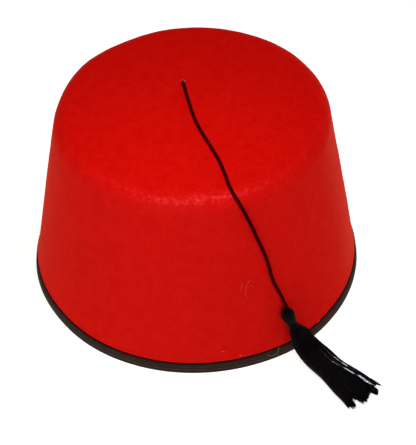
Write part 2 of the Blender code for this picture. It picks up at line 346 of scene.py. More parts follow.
@dataclass(frozen=True)
class WoolFelt:
    """Wool felt, matted with steam and pressed on a block, with a short nap.

    It gives the eye a deep even red with no shine, broken by fine tangled fibre lines, painted
    paler as a painted sheen where raised fibres catch the light, and by soft mottling where the wool
    lies thicker. There is a pale bloom where the nap is seen from the side, a painted sheen down the
    side for the pale table reflected there, and a painted highlight along the top's edge, strongest
    at the front and broken into pinkish flecks.
    """

    name: str = "pressed wool felt"
    shaded: str = "#C90402"
    middle: str = "#D20D08"
    # Painted sheen: the paler colour of the fibre lines, standing for raised fibres that catch the light.
    fibre_sheen_colour: str = "#DE1A15"
    # Painted highlight: the colour painted along the top's edge, where the lamps catch the rounded edge.
    painted_edge_highlight: str = "#EA3A44"
    bloom: str = "#FF9C7C"
    bloom_weight: float = 0.2
    bloom_roughness: float = 0.34
    # Painted sheen: a pale colour mixed in down the side, standing for the table reflected there.
    side_sheen_colour: str = "#D8D4CC"
    side_sheen_share: float = 0.0036
    roughness_low: float = 0.66
    roughness_high: float = 0.82
    lump_mm: float = 6.0  # where the wool lies thicker
    lump_detail: float = 3.4
    lump_roughness: float = 0.85
    lump_range: tuple[float, float] = (0.38, 0.62)  # of the noise, from the shaded colour to the middle
    fleck_mm: float = 2.2  # between the flecks of the painted edge highlight
    fleck_detail: float = 3.0
    fleck_roughness: float = 0.6
    fleck_range: tuple[float, float] = (0.46, 0.7)  # of the noise, from no fleck to a whole one
    fleck_least: float = 0.1  # how much of the painted edge highlight lies between them
    fibre_mm: float = 1.5  # between fibre lines; real wool is 0.03 mm, drawn coarse enough to show
    fine_fibre_mm: float = 0.8
    fine_fibre_shift: float = 0.3  # so that the fine lines aren't a small copy of the others
    fibre_detail: float = 1.0
    fibre_width: float = 0.11  # of the noise's range, on each side of a line
    fibre_sheen_share: float = 0.35  # how much of the painted sheen's paler colour a line takes
    fibre_relief: float = 0.5  # of the lumps' relief
    relief: float = 0.05 * MM
    relief_strength: float = 0.7

    def fibre_lines(self, tree: bpy.types.NodeTree, place: bpy.types.NodeSocket) -> bpy.types.NodeSocket:
        """Add the nodes of the tangled fibre lines.

        Args:
            tree: the material's tree.
            place: where each point lies.

        Returns:
            1 along the lines, falling to 0 between them.
        """
        lines = []
        for size_mm, shift in ((self.fibre_mm, 0.0), (self.fine_fibre_mm, self.fine_fibre_shift)):
            moved = add_node(tree, "ShaderNodeVectorMath", {0: place, 1: (shift, shift, 0.0)})
            tangled = {"Vector": moved, "Scale": per_metre(size_mm), "Detail": self.fibre_detail}
            tangle = add_node(tree, "ShaderNodeTexNoise", tangled)
            # A line lies where the noise crosses its middle value.
            off = add_node(tree, "ShaderNodeMath", {0: tangle, 1: 0.5}, operation="SUBTRACT")
            apart = add_node(tree, "ShaderNodeMath", {0: off}, operation="ABSOLUTE")
            near = {"Value": apart, "From Max": self.fibre_width, "To Min": 1.0, "To Max": 0.0}
            lines.append(add_node(tree, "ShaderNodeMapRange", near))
        return add_node(tree, "ShaderNodeMath", {0: lines[0], 1: lines[1]}, operation="MAXIMUM")

    def material(self) -> bpy.types.Material:
        """Build the material.

        Returns:
            The material.
        """
        made, tree, shader = new_material(self.name)
        place = add_node(tree, "ShaderNodeTexCoord", output="Object")
        fibres = self.fibre_lines(tree, place)
        lumpy = {"Scale": per_metre(self.lump_mm), "Detail": self.lump_detail}
        lumpy |= {"Vector": place, "Roughness": self.lump_roughness}
        lumps = add_node(tree, "ShaderNodeTexNoise", lumpy)
        low, high = self.lump_range
        thick = add_node(tree, "ShaderNodeMapRange", {"Value": lumps, "From Min": low, "From Max": high})
        flecked = {"Scale": per_metre(self.fleck_mm), "Detail": self.fleck_detail}
        flecked |= {"Vector": place, "Roughness": self.fleck_roughness}
        low, high = self.fleck_range
        fleck_levels = {"From Min": low, "From Max": high, "To Min": self.fleck_least}
        fleck_levels |= {"Value": add_node(tree, "ShaderNodeTexNoise", flecked)}
        flecks = add_node(tree, "ShaderNodeMapRange", fleck_levels)
        # Painted sheen down the side.
        painted_side_sheen = add_node(tree, "ShaderNodeAttribute", output="Fac", attribute_name=SIDE_SHEEN_NAME)
        # Painted highlight along the top's edge, broken into flecks.
        edge_highlight_share = add_node(tree, "ShaderNodeAttribute", output="Fac", attribute_name=EDGE_HIGHLIGHT_NAME)
        colour = linear(self.shaded)
        # Layers over the lumps' tone: the fibre lines' painted sheen, the side's painted sheen and the
        # edge's painted highlight.
        for where, strength, over in (
            (thick, 1.0, self.middle),
            (fibres, self.fibre_sheen_share, self.fibre_sheen_colour),
            (painted_side_sheen, self.side_sheen_share, self.side_sheen_colour),
            (edge_highlight_share, flecks, self.painted_edge_highlight),
        ):
            share = add_node(tree, "ShaderNodeMath", {0: where, 1: strength}, operation="MULTIPLY")
            layers = {0: share, MIX_UNDER: colour, MIX_OVER: linear(over)}
            colour = add_node(tree, "ShaderNodeMix", layers, MIX_RESULT, data_type="RGBA")
        rough = {"Value": lumps, "To Min": self.roughness_low, "To Max": self.roughness_high}
        piled = {0: fibres, 1: self.fibre_relief, 2: lumps}
        height = add_node(tree, "ShaderNodeMath", piled, operation="MULTIPLY_ADD")
        relief = {"Height": height, "Strength": self.relief_strength, "Distance": self.relief}
        looks = {
            "Base Color": colour,
            "Roughness": add_node(tree, "ShaderNodeMapRange", rough),
            "Specular IOR Level": 0.0,
            "Sheen Weight": self.bloom_weight,
            "Sheen Roughness": self.bloom_roughness,
            "Sheen Tint": linear(self.bloom),
            "Normal": add_node(tree, "ShaderNodeBump", relief),
        }
        feed(shader, looks)
        return made


@dataclass(frozen=True)
class RibbedTape:
    """Ribbed cotton hat tape, woven with thick wefts under close warps.

    It gives the eye a dull charcoal brown with fine cross ribs and no shine, a little paler where
    the warps are rubbed on top of a rib.
    """

    name: str = "ribbed cotton tape"
    furrow: str = "#251A18"
    crest: str = "#52413C"
    roughness: float = 0.85
    specular: float = 0.05
    fuzz: float = 0.04
    fuzz_roughness: float = 0.5
    warp_mm: float = 2.2  # between warps; real ones are about 0.3 mm, drawn coarse enough to show
    warp_waver: float = 1.0
    cloud_mm: float = 5.0  # where the tape is worn paler
    cloud_detail: float = 4.0
    relief: float = 0.04 * MM

    def material(self) -> bpy.types.Material:
        """Build the material.

        Returns:
            The material.
        """
        made, tree, shader = new_material(self.name)
        flat = add_node(tree, "ShaderNodeUVMap", uv_map=UV_NAME)
        place = add_node(tree, "ShaderNodeTexCoord", output="Object")
        banded = {"Vector": flat, "Scale": WAVE_BAND * per_metre(self.warp_mm), "Detail": 1.0}
        banded |= {"Distortion": self.warp_waver}
        warps = add_node(tree, "ShaderNodeTexWave", banded, "Fac", bands_direction="Y")
        clouded = {"Vector": place, "Scale": per_metre(self.cloud_mm), "Detail": self.cloud_detail}
        wear_and_painted_light = add_node(tree, "ShaderNodeTexNoise", clouded)
        share = add_node(tree, "ShaderNodeMath", {0: warps, 1: wear_and_painted_light}, operation="MULTIPLY")
        layers = {0: share, MIX_UNDER: linear(self.furrow), MIX_OVER: linear(self.crest)}
        looks = {
            "Base Color": add_node(tree, "ShaderNodeMix", layers, MIX_RESULT, data_type="RGBA"),
            "Roughness": self.roughness,
            "Specular IOR Level": self.specular,
            "Sheen Weight": self.fuzz,
            "Sheen Roughness": self.fuzz_roughness,
            "Normal": add_node(tree, "ShaderNodeBump", {"Height": warps, "Distance": self.relief}),
        }
        feed(shader, looks)
        return made


@dataclass(frozen=True)
class Rayon:
    """Spun rayon, dyed black: filaments that lie along the strand.

    It gives the eye a near black, warm in the cord and cool in the floss, with a narrow shine that
    runs across the filaments.
    """

    name: str
    base: str
    filament: str
    roughness: float
    specular: float
    filament_mm: float  # between filament lines; real ones are 0.02 mm, drawn coarse enough to show
    filament_detail: float = 2.0
    drawn_out: float = 25.0  # how many times longer the lines are than they are wide
    roughness_spread: float = 0.06  # on each side of the roughness, from line to line
    relief: float = 0.008 * MM

    def material(self) -> bpy.types.Material:
        """Build the material.

        Returns:
            The material.
        """
        made, tree, shader = new_material(self.name)
        flat = add_node(tree, "ShaderNodeUVMap", uv_map=UV_NAME)
        stretch = {"Vector": flat, "Scale": (1.0 / self.drawn_out, 1.0, 1.0)}
        drawn = add_node(tree, "ShaderNodeMapping", stretch)
        lined = {"Vector": drawn, "Scale": per_metre(self.filament_mm), "Detail": self.filament_detail}
        lines = add_node(tree, "ShaderNodeTexNoise", lined)
        layers = {0: lines, MIX_UNDER: linear(self.base), MIX_OVER: linear(self.filament)}
        low, high = self.roughness - self.roughness_spread, self.roughness + self.roughness_spread
        rough = {"Value": lines, "To Min": low, "To Max": high}
        looks = {
            "Base Color": add_node(tree, "ShaderNodeMix", layers, MIX_RESULT, data_type="RGBA"),
            "Roughness": add_node(tree, "ShaderNodeMapRange", rough),
            "Specular IOR Level": self.specular,
            "Normal": add_node(tree, "ShaderNodeBump", {"Height": lines, "Distance": self.relief}),
        }
        feed(shader, looks)
        return made


CORD_RAYON = Rayon(
    name="twisted rayon cord",
    base="#2A0001",
    filament="#480203",
    roughness=0.6,
    specular=0.005,
    filament_mm=0.12,
)
FLOSS_RAYON = Rayon(
    name="rayon floss",
    base="#040306",
    filament="#110F16",
    roughness=0.3,
    specular=0.03,
    filament_mm=0.16,
)
COMBED_RAYON = Rayon(
    name="combed rayon floss",
    base="#040306",
    filament="#110F16",
    roughness=0.22,
    specular=0.2,
    filament_mm=0.16,
    relief=0.004 * MM,
)


@dataclass(frozen=True)
class OpalAcrylic:
    """Opal acrylic sheet, cast and lit from below, as on a light table.

    It gives the eye a plain pale ground with only a soft shadow under the hat.
    """

    name: str = "opal acrylic sheet"
    colour: str = "#F4F4F4"
    roughness: float = 0.9
    specular: float = 0.1
    glow: float = 0.76

    def material(self) -> bpy.types.Material:
        """Build the material.

        Returns:
            The material.
        """
        made, _, shader = new_material(self.name)
        looks = {
            "Base Color": linear(self.colour),
            "Roughness": self.roughness,
            "Specular IOR Level": self.specular,
            "Emission Color": (1.0, 1.0, 1.0, 1.0),
            "Emission Strength": self.glow,
        }
        feed(shader, looks)
        return made


@dataclass(frozen=True)
class LooseFibre:
    """A few loose fibres that cling to a hat: thin, matt and paler than what they lie on.

    It gives the eye a faint hair or fleck that is uneven along its length.
    """

    name: str
    dark: str
    pale: str
    roughness: float = 0.7
    specular: float = 0.1
    patch_mm: float = 1.1  # between its darker and its paler places

    def material(self) -> bpy.types.Material:
        """Build the material.

        Returns:
            The material.
        """
        made, tree, shader = new_material(self.name)
        place = add_node(tree, "ShaderNodeTexCoord", output="Object")
        patchy = {"Vector": place, "Scale": per_metre(self.patch_mm)}
        patches = add_node(tree, "ShaderNodeTexNoise", patchy)
        layers = {0: patches, MIX_UNDER: linear(self.dark), MIX_OVER: linear(self.pale)}
        looks = {
            "Base Color": add_node(tree, "ShaderNodeMix", layers, MIX_RESULT, data_type="RGBA"),
            "Roughness": self.roughness,
            "Specular IOR Level": self.specular,
        }
        feed(shader, looks)
        return made


WOOL_FLUFF = LooseFibre(name="loose wool fibre", dark="#D2362C", pale="#F26A5E")
THREAD_FLUFF = LooseFibre(name="loose thread fibre", dark="#6E625E", pale="#C0A8A0")


# --- studio ------------------------------------------------------------------------------------


@dataclass(frozen=True)
class Lamp:
    """One soft box: where it stands seen from what it lights, its sides and its power in watts."""

    name: str
    azimuth_deg: float  # 0 is in front of the hat and 90 to its right
    elevation_deg: float
    distance: float
    width: float
    height: float
    power: float
    aim: tuple[float, float, float] = (0.0, 0.0, 0.07)
    colour: str = "#FFFFFF"

    def place(self) -> Vector:
        """Work out where the box stands.

        Returns:
            The middle of the box.
        """
        turn, rise = math.radians(self.azimuth_deg), math.radians(self.elevation_deg)
        level = math.cos(rise)
        way = Vector((math.sin(turn) * level, -math.cos(turn) * level, math.sin(rise)))
        return Vector(self.aim) + self.distance * way


@dataclass
class Studio:
    """The camera at the photograph's angle, a pale light table and soft boxes."""

    eye: tuple[float, float, float] = (0.0, -0.76834, 0.77059)
    aim: tuple[float, float, float] = (0.00735, 0.0, 0.02451)
    roll_deg: float = -1.35
    lens_mm: float = 147.9
    sensor_mm: float = 36.0
    clip: tuple[float, float] = (0.05, 50.0)
    table_side: float = 24.0
    surroundings: float = 0.02  # light from the room, all round
    seen_surroundings: float = 0.78  # the room as the camera sees it beyond the table, as pale
    lamps: tuple[Lamp, ...] = (
        # name, azimuth_deg, elevation_deg, distance, width, height, power
        Lamp("top_box", 0.0, 75.0, 0.42, 0.32, 0.32, 1.0, colour="#FFEBD2"),
        Lamp("edge_box", -16.0, 62.0, 0.24, 0.24, 0.12, 0.09, aim=(0.0, -0.05, 0.09), colour="#FFEBD2"),
        Lamp("near_box", 0.0, 88.0, 0.12, 0.1, 0.08, 0.042, aim=(-0.012, -0.045, 0.113), colour="#FFEBD2"),
        Lamp("left_box", -68.0, 6.0, 1.0, 0.6, 0.3, 1.97),
        Lamp("right_box", 30.0, 6.0, 1.0, 0.5, 0.3, 1.23),
        Lamp("far_right_box", 100.0, 12.0, 0.9, 0.4, 0.4, 0.75),
        Lamp("back_box", 180.0, 10.0, 1.0, 0.5, 0.3, 0.5),
        Lamp("window", 157.0, 10.0, 1.0, 0.14, 0.26, 2.7, aim=(0.08, -0.11, 0.005), colour="#E2EAFF"),
    )

    def build(self) -> None:
        """Build it all."""
        scene = bpy.context.scene
        scene.view_settings.view_transform = "Standard"
        self.build_camera()
        self.build_table()
        self.build_surroundings()
        for lamp in self.lamps:
            self.build_lamp(lamp)

    def build_camera(self) -> None:
        """Make the scene's camera."""
        data = bpy.data.cameras.new("camera")
        data.lens = self.lens_mm
        data.sensor_width = self.sensor_mm
        data.clip_start, data.clip_end = self.clip
        camera = bpy.data.objects.new("camera", data)
        bpy.context.scene.collection.objects.link(camera)
        back = Vector(self.eye) - Vector(self.aim)
        turn = back.to_track_quat("Z", "Y").to_matrix().to_4x4()
        roll = Matrix.Rotation(math.radians(self.roll_deg), 4, "Z")
        camera.matrix_world = Matrix.Translation(self.eye) @ turn @ roll
        bpy.context.scene.camera = camera

    def build_table(self) -> None:
        """Make the light table that the hat stands on."""
        half = self.table_side / 2
        mesh = bpy.data.meshes.new("light_table")
        corners = [(-half, -half, 0.0), (half, -half, 0.0), (half, half, 0.0), (-half, half, 0.0)]
        mesh.from_pydata(corners, [], [(0, 1, 2, 3)])
        mesh.materials.append(OpalAcrylic().material())
        table = bpy.data.objects.new("light_table", mesh)
        bpy.context.scene.collection.objects.link(table)

    def build_surroundings(self) -> None:
        """Make the room: dim as light, pale as the camera sees it."""
        world = bpy.data.worlds.new("room")
        bpy.context.scene.world = world
        world.use_nodes = True
        tree = world.node_tree
        sky = tree.nodes["Background"]
        seen = add_node(tree, "ShaderNodeLightPath", output="Is Camera Ray")
        levels = {"Value": seen, "To Min": self.surroundings, "To Max": self.seen_surroundings}
        strength = add_node(tree, "ShaderNodeMapRange", levels)
        feed(sky, {"Color": (1.0, 1.0, 1.0, 1.0), "Strength": strength})

    def build_lamp(self, lamp: Lamp) -> None:
        """Make one soft box.

        Args:
            lamp: its numbers.
        """
        data = bpy.data.lights.new(lamp.name, "AREA")
        data.shape = "RECTANGLE"
        data.size, data.size_y = lamp.width, lamp.height
        data.energy = lamp.power
        data.color = linear(lamp.colour)[:3]
        obj = bpy.data.objects.new(lamp.name, data)
        bpy.context.scene.collection.objects.link(obj)
        obj.location = lamp.place()
        back = lamp.place() - Vector(lamp.aim)
        obj.rotation_euler = back.to_track_quat("Z", "Y").to_euler()
        obj.visible_camera = False


# --- crown -------------------------------------------------------------------------------------


@dataclass
class FeltCrown:
    """The felt body: top, rounded edge and side, with a pinched hole for the cord."""

    rim_radius: float = 94.5 * MM  # outside of the felt, carried down to the table
    top_radius: float = 76.0 * MM  # and up to the sharp corner
    edge_radius: float = 9.0 * MM
    felt: float = 2.0 * MM
    nap: float = 0.15 * MM  # how far the fibres stand out from the pressed body
    tape_top: float = 6.0 * MM
    tape_recess: float = 0.7 * MM
    tuck: tuple[float, float] = (-0.5 * MM, 1.2 * MM)  # from the tape's top, where the felt goes in
    raw_edge: float = 1.3 * MM
    raw_edge_round: float = 0.3 * MM
    bulge: float = 0.3 * MM  # the soft felt above the tape that pulls it in
    bulge_rise: float = 1.6 * MM  # from the tape's top to its middle
    bulge_spread: float = 1.3 * MM
    columns: int = 384
    # Rows down the outside: the hole's lip, the top, its edge, the side and by the tape.
    lip_rows: int = 5
    top_rows: int = 50
    top_crowding: float = 1.6  # above 1 the rows lie closer together near the hole
    edge_rows: int = 14
    side_rows: int = 56
    tape_rows: int = 19
    tape_rows_span: tuple[float, float] = (5.0 * MM, -1.0 * MM)  # from the tape's top
    hidden_row: float = 4.0 * MM  # the height of one behind the tape
    # Rows up the inside: the side, the edge, under the top and in the hole.
    inner_side_rows: int = 44
    inner_edge_rows: int = 9
    under_rows: int = 26
    hole_wall: tuple[float, float] = (0.3 * MM, 1.0 * MM)  # above the underside, and below the top
    hole_radius: float = 1.3 * MM
    hole_lip: float = 0.5 * MM
    hole_top: tuple[float, float] = (-4.65 * MM, 21.9 * MM)
    hole_bottom: tuple[float, float] = (-4.7 * MM, 22.0 * MM)
    hole_reach: float = 58.0 * MM  # where the rings round the hole have become rings round the top
    dimple: float = 0.6 * MM
    dimple_radius: float = 2.6 * MM
    puckers: int = 5  # small folds that the pull of the cord makes round the hole
    pucker_depth: float = 0.1  # of the dimple's
    pucker_turn: float = 0.6  # of the first one, in radians
    pucker_radius_mm: float = 3.2
    pucker_spread_mm: float = 1.6
    # Where the soft felt isn't quite round, as in the solid that this stands for.
    swellings: tuple[tuple[float, ...], ...] = (
        # azimuth_deg, height_mm, spread_deg, spread_mm, outwards_mm
        (200.0, 100.0, 14.0, 24.0, 0.7),
        (166.0, 113.0, 13.0, 22.0, -0.9),
        (118.0, 113.0, 14.0, 22.0, -1.0),
        (48.0, 113.0, 24.0, 26.0, 0.8),
        (-6.0, 113.0, 16.0, 22.0, -0.5),
        (-140.0, 113.0, 20.0, 14.0, -0.7),
    )
    swelling_floor: float = 20.0 * MM
    # Where its rim isn't quite round.
    rim_swellings: tuple[tuple[float, ...], ...] = (
        # azimuth_deg, height_mm, spread_deg, spread_mm, outwards_mm
        (-54.0, 0.0, 13.0, 40.0, 0.75),
        (-149.0, 0.0, 14.0, 40.0, -0.6),
    )
    # Where the highlight along the top's edge is painted into the felt's colour, strongest at the front,
    # where the lamps face it.
    highlight_rise_deg: float = 63.0  # on the rounded edge, from the side up to the top
    highlight_spread_deg: float = 11.0
    highlight_blur: float = 0.32  # how strongly it goes on above and below
    highlight_blur_width: float = 3.0  # of the spread
    highlight_azimuth_deg: float = -91.0
    highlight_reach_deg: float = 25.0
    highlight_least: float = 0.07
    highlight_sag_deg: float = 11.0  # how much lower it lies a little to the left of the front
    highlight_sag_azimuth_deg: float = -101.0
    highlight_sag_reach_deg: float = 11.0
    # Where the painted side sheen fades out on the rounded edge.
    side_sheen_fade_deg: tuple[float, float] = (15.0, 60.0)  # on the rounded edge, from all of it to none
    # Unevenness of the nap: the size of the lumps and how far they stand out.
    lumps: tuple[tuple[float, float], ...] = (
        # size_mm, height_mm
        (24.0, 0.26),
        (8.0, 0.1),
        (3.2, 0.045),
    )
    lumps_inside: float = 0.4  # of those outside
    lumps_rise: tuple[float, float] = (0.5 * MM, 4.0 * MM)  # above the tape's top, where they set in

    @property
    def height(self) -> float:
        """The height of the top, from the frame."""
        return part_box("crown")[1].z

    def side_radius(self, height: Array | float) -> Array | float:
        """Radius of the straight outer side at a height."""
        return self.rim_radius + (self.top_radius - self.rim_radius) * height / self.height

    def slope(self) -> float:
        """The side's outward normal above the horizontal, in radians."""
        return math.atan2(self.rim_radius - self.top_radius, self.height)

    def edge_centre(self) -> tuple[float, float]:
        """Find the centre of the rounded top edge.

        Returns:
            Its radius and its height.
        """
        half_turn = (math.pi / 2 - self.slope()) / 2
        radius = self.top_radius - self.edge_radius * math.tan(half_turn)
        return radius, self.height - self.edge_radius

    def edge_arc(self, radius: float, steps: int) -> Array:
        """Points of the rounded edge, from the top to the side.

        Args:
            radius: how far they are from the edge's centre.
            steps: how many there are.

        Returns:
            Rows of (radius, height).
        """
        centre = self.edge_centre()
        turn = np.linspace(math.pi / 2, self.slope(), steps)
        return np.stack([centre[0] + radius * np.cos(turn), centre[1] + radius * np.sin(turn)], 1)

    def flat_radii(self, steps: int) -> Array:
        """Radii of the rings on the flat top, close together near the hole.

        Args:
            steps: how many there are.

        Returns:
            The radii, from the hole outwards.
        """
        first = self.hole_radius + self.hole_lip
        share = np.linspace(0.0, 1.0, steps)
        return first + (self.edge_centre()[0] - first) * share**self.top_crowding

    def outer_rows(self) -> Array:
        """Half section of the outside, from the hole's lip down to the raw edge.

        Returns:
            Rows of (radius, height).
        """
        turn = np.linspace(math.pi, math.pi / 2, self.lip_rows)
        lip_radius = self.hole_radius + self.hole_lip + self.hole_lip * np.cos(turn)
        lip_height = self.height - self.hole_lip + self.hole_lip * np.sin(turn)
        lip = np.stack([lip_radius, lip_height], axis=1)
        radii = self.flat_radii(self.top_rows)[1:-1]
        top = np.stack([radii, np.full_like(radii, self.height)], axis=1)
        edge = self.edge_arc(self.edge_radius, self.edge_rows)
        from_here, to_here = (self.tape_top + rise for rise in self.tape_rows_span)
        free = np.linspace(edge[-1, 1], from_here, self.side_rows)[1:]
        near = np.linspace(from_here, to_here, self.tape_rows)[1:]
        heights = np.concatenate([free, near, [self.hidden_row, self.raw_edge + self.raw_edge_round]])
        low, high = (self.tape_top + rise for rise in self.tuck)
        tucked = 1.0 - smooth_step(heights, low, high)
        swell = np.exp(-(((heights - self.tape_top - self.bulge_rise) / self.bulge_spread) ** 2))
        offset = self.bulge * swell - (self.tape_recess + self.nap) * tucked
        side = np.stack([self.side_radius(heights) + offset, heights], axis=1)
        return np.vstack([lip, top, edge, side])

    def inner_rows(self) -> Array:
        """Half section of the inside, from the raw edge up to the hole.

        Returns:
            Rows of (radius, height).
        """
        bottom = self.raw_edge
        inside = self.side_radius(bottom) - self.felt
        outside = self.side_radius(bottom) - self.tape_recess
        edge = self.edge_arc(self.edge_radius - self.felt, self.inner_edge_rows)[::-1]
        heights = np.linspace(bottom + self.raw_edge_round, edge[0, 1], self.inner_side_rows)[:-1]
        side = np.stack([self.side_radius(heights) - self.felt, heights], axis=1)
        hem = [(outside - self.raw_edge_round, bottom), (inside + self.raw_edge_round, bottom)]
        radii = self.flat_radii(self.under_rows)[::-1][1:]
        under = self.height - self.felt
        top = np.stack([radii, np.full_like(radii, under)], axis=1)
        low, high = under + self.hole_wall[0], self.height - self.hole_wall[1]
        return np.vstack([hem, side, edge, top, [(self.hole_radius, low), (self.hole_radius, high)]])

    def swelling(self, azimuth_deg: Array, height: Array) -> Array:
        """How far the felt stands outwards.

        Args:
            azimuth_deg: directions round the hat.
            height: heights above the table.

        Returns:
            Distances outwards, in metres.
        """
        faded = np.clip((height - self.swelling_floor) / self.swelling_floor, 0.0, 1.0)
        total = np.zeros(np.broadcast(azimuth_deg, height).shape)
        for table, share in ((self.swellings, faded), (self.rim_swellings, 1.0)):
            for middle_deg, middle_mm, spread_deg, spread_mm, outwards_mm in table:
                turn = turned_from(azimuth_deg, middle_deg)
                rise = height / MM - middle_mm
                lobe = np.exp(-((turn / spread_deg) ** 2) - (rise / spread_mm) ** 2)
                total += outwards_mm * MM * lobe * share
        return total

    def unevenness(self, place: Array) -> Array:
        """How far the nap's lumps stand out at each place.

        Args:
            place: points of the felt.

        Returns:
            Distances along the surface's normal, in metres.
        """
        total = np.zeros(len(place))
        for size_mm, height_mm in self.lumps:
            scaled = place / (size_mm * MM)
            total += height_mm * MM * np.array([noise.noise(Vector(p)) for p in scaled])
        return total

    def laid_out(self, rows: Array, on_top: Array) -> Array:
        """Turn the section round the hat, with the rings on the top drawn towards the hole.

        Args:
            rows: the section, as (radius, height).
            on_top: for each row, whether it lies on the top or under it.

        Returns:
            The points, as (rows, columns, 3).
        """
        radius, height = rows[:, :1], rows[:, 1:]
        pull = np.where(on_top, 1.0 - smooth_step(radius, self.hole_radius, self.hole_reach), 0.0)
        depth = np.clip((self.height - height) / self.felt, 0.0, 1.0)
        hole = np.array(self.hole_top) + (np.array(self.hole_bottom) - self.hole_top) * depth
        turn = 2 * math.pi * np.arange(self.columns)[None, :] / self.columns
        x = radius * np.cos(turn) + pull * hole[:, :1]
        y = radius * np.sin(turn) + pull * hole[:, 1:]
        z = height + 0 * turn
        grow = 1.0 + self.swelling(np.degrees(np.arctan2(y, x)), z) / self.side_radius(z)
        return np.stack([x * grow, y * grow, z], axis=-1)

    def sinking(self, grid: Array) -> Array:
        """How deep the felt is sunk and puckered round the hole.

        Args:
            grid: the points of the felt.

        Returns:
            A depth in metres for each point.
        """
        away_x, away_y = grid[..., 0] - self.hole_top[0], grid[..., 1] - self.hole_top[1]
        from_hole, ray = np.hypot(away_x, away_y), np.arctan2(away_y, away_x)
        ring = np.exp(-(((from_hole / MM - self.pucker_radius_mm) / self.pucker_spread_mm) ** 2))
        pucker = self.pucker_depth * np.cos(self.puckers * ray + self.pucker_turn) * ring
        return self.dimple * (np.exp(-((from_hole / self.dimple_radius) ** 2)) + pucker)

    def grid(self) -> Array:
        """Lay out the felt with every bump and dent.

        Returns:
            Its points, as (rows, columns, 3).
        """
        outer = self.outer_rows()
        rows = np.vstack([outer, self.inner_rows()])
        on_top = rows[:, 1:] > self.edge_centre()[1]
        grid = self.laid_out(rows, on_top)
        low, high = (self.tape_top + rise for rise in self.lumps_rise)
        loose = smooth_step(grid[..., 2], low, high)
        loose[len(outer) :] *= self.lumps_inside
        loose *= smooth_step(rows[:, :1], self.hole_radius, self.hole_radius + 2 * self.hole_lip)
        bumps = self.unevenness(grid.reshape(-1, 3)).reshape(loose.shape) + self.nap
        bumps[len(outer) :] -= self.nap
        across = np.gradient(grid, axis=0)
        around = np.roll(grid, -1, axis=1) - np.roll(grid, 1, axis=1)
        normals = unit(np.cross(around, across))
        grid = grid - normals * (bumps * loose)[..., None]
        grid[..., 2] -= np.where(on_top, self.sinking(grid), 0.0)
        return grid

    def rise_deg(self) -> Array:
        """Find where each row lies on the rounded edge.

        Returns:
            An angle for each row: about 9 at the top of the side and 90 on the top.
        """
        centre_radius, centre_height = self.edge_centre()
        rows = np.vstack([self.outer_rows(), self.inner_rows()])
        return np.degrees(np.arctan2(rows[:, 1] - centre_height, rows[:, 0] - centre_radius))

    def side_sheen_shares(self, grid: Array) -> Array:
        """How much painted sheen each point takes: the pale table reflected all down the side, none on the
        top.
        """
        return 1.0 - smooth_step(self.rise_deg(), *self.side_sheen_fade_deg)[:, None] + 0 * grid[..., 0]

    def edge_highlight_shares(self, grid: Array) -> Array:
        """Where the highlight along the top's edge is painted, most at the front, where the lamps face it.

        Args:
            grid: the points of the felt, as (rows, columns, 3).

        Returns:
            A share from 0 to 1 for each point.
        """
        rise = self.rise_deg()
        azimuth = np.degrees(np.arctan2(grid[..., 1], grid[..., 0]))
        sag = np.exp(-(((azimuth - self.highlight_sag_azimuth_deg) / self.highlight_sag_reach_deg) ** 2))
        off = (rise[:, None] - self.highlight_rise_deg + self.highlight_sag_deg * sag) / self.highlight_spread_deg
        at_edge = np.exp(-(off**2)) + self.highlight_blur * np.exp(-((off / self.highlight_blur_width) ** 2))
        at_edge[len(self.outer_rows()) :] = 0.0
        turn = turned_from(azimuth, self.highlight_azimuth_deg)
        around = self.highlight_least + (1.0 - self.highlight_least) * np.exp(-((turn / self.highlight_reach_deg) ** 2))
        return at_edge * around

    def build(self) -> bpy.types.Object:
        """Build the felt.

        Returns:
            The piece.
        """
        felt = Strands()
        grid = self.grid()
        felt.add(grid, joined=True)
        crown = felt.to_object("felt_crown", WoolFelt().material())
        # The painted edge highlight and the painted side sheen, kept on the mesh for the felt's colour.
        for name, values in ((EDGE_HIGHLIGHT_NAME, self.edge_highlight_shares(grid)), (SIDE_SHEEN_NAME, self.side_sheen_shares(grid))):
            wear_and_painted_light = crown.data.attributes.new(name, "FLOAT", "POINT")
            wear_and_painted_light.data.foreach_set("value", values.astype(np.float32).ravel())
        return settle(crown, Slot.FELT, "crown")


# --- binding -----------------------------------------------------------------------------------


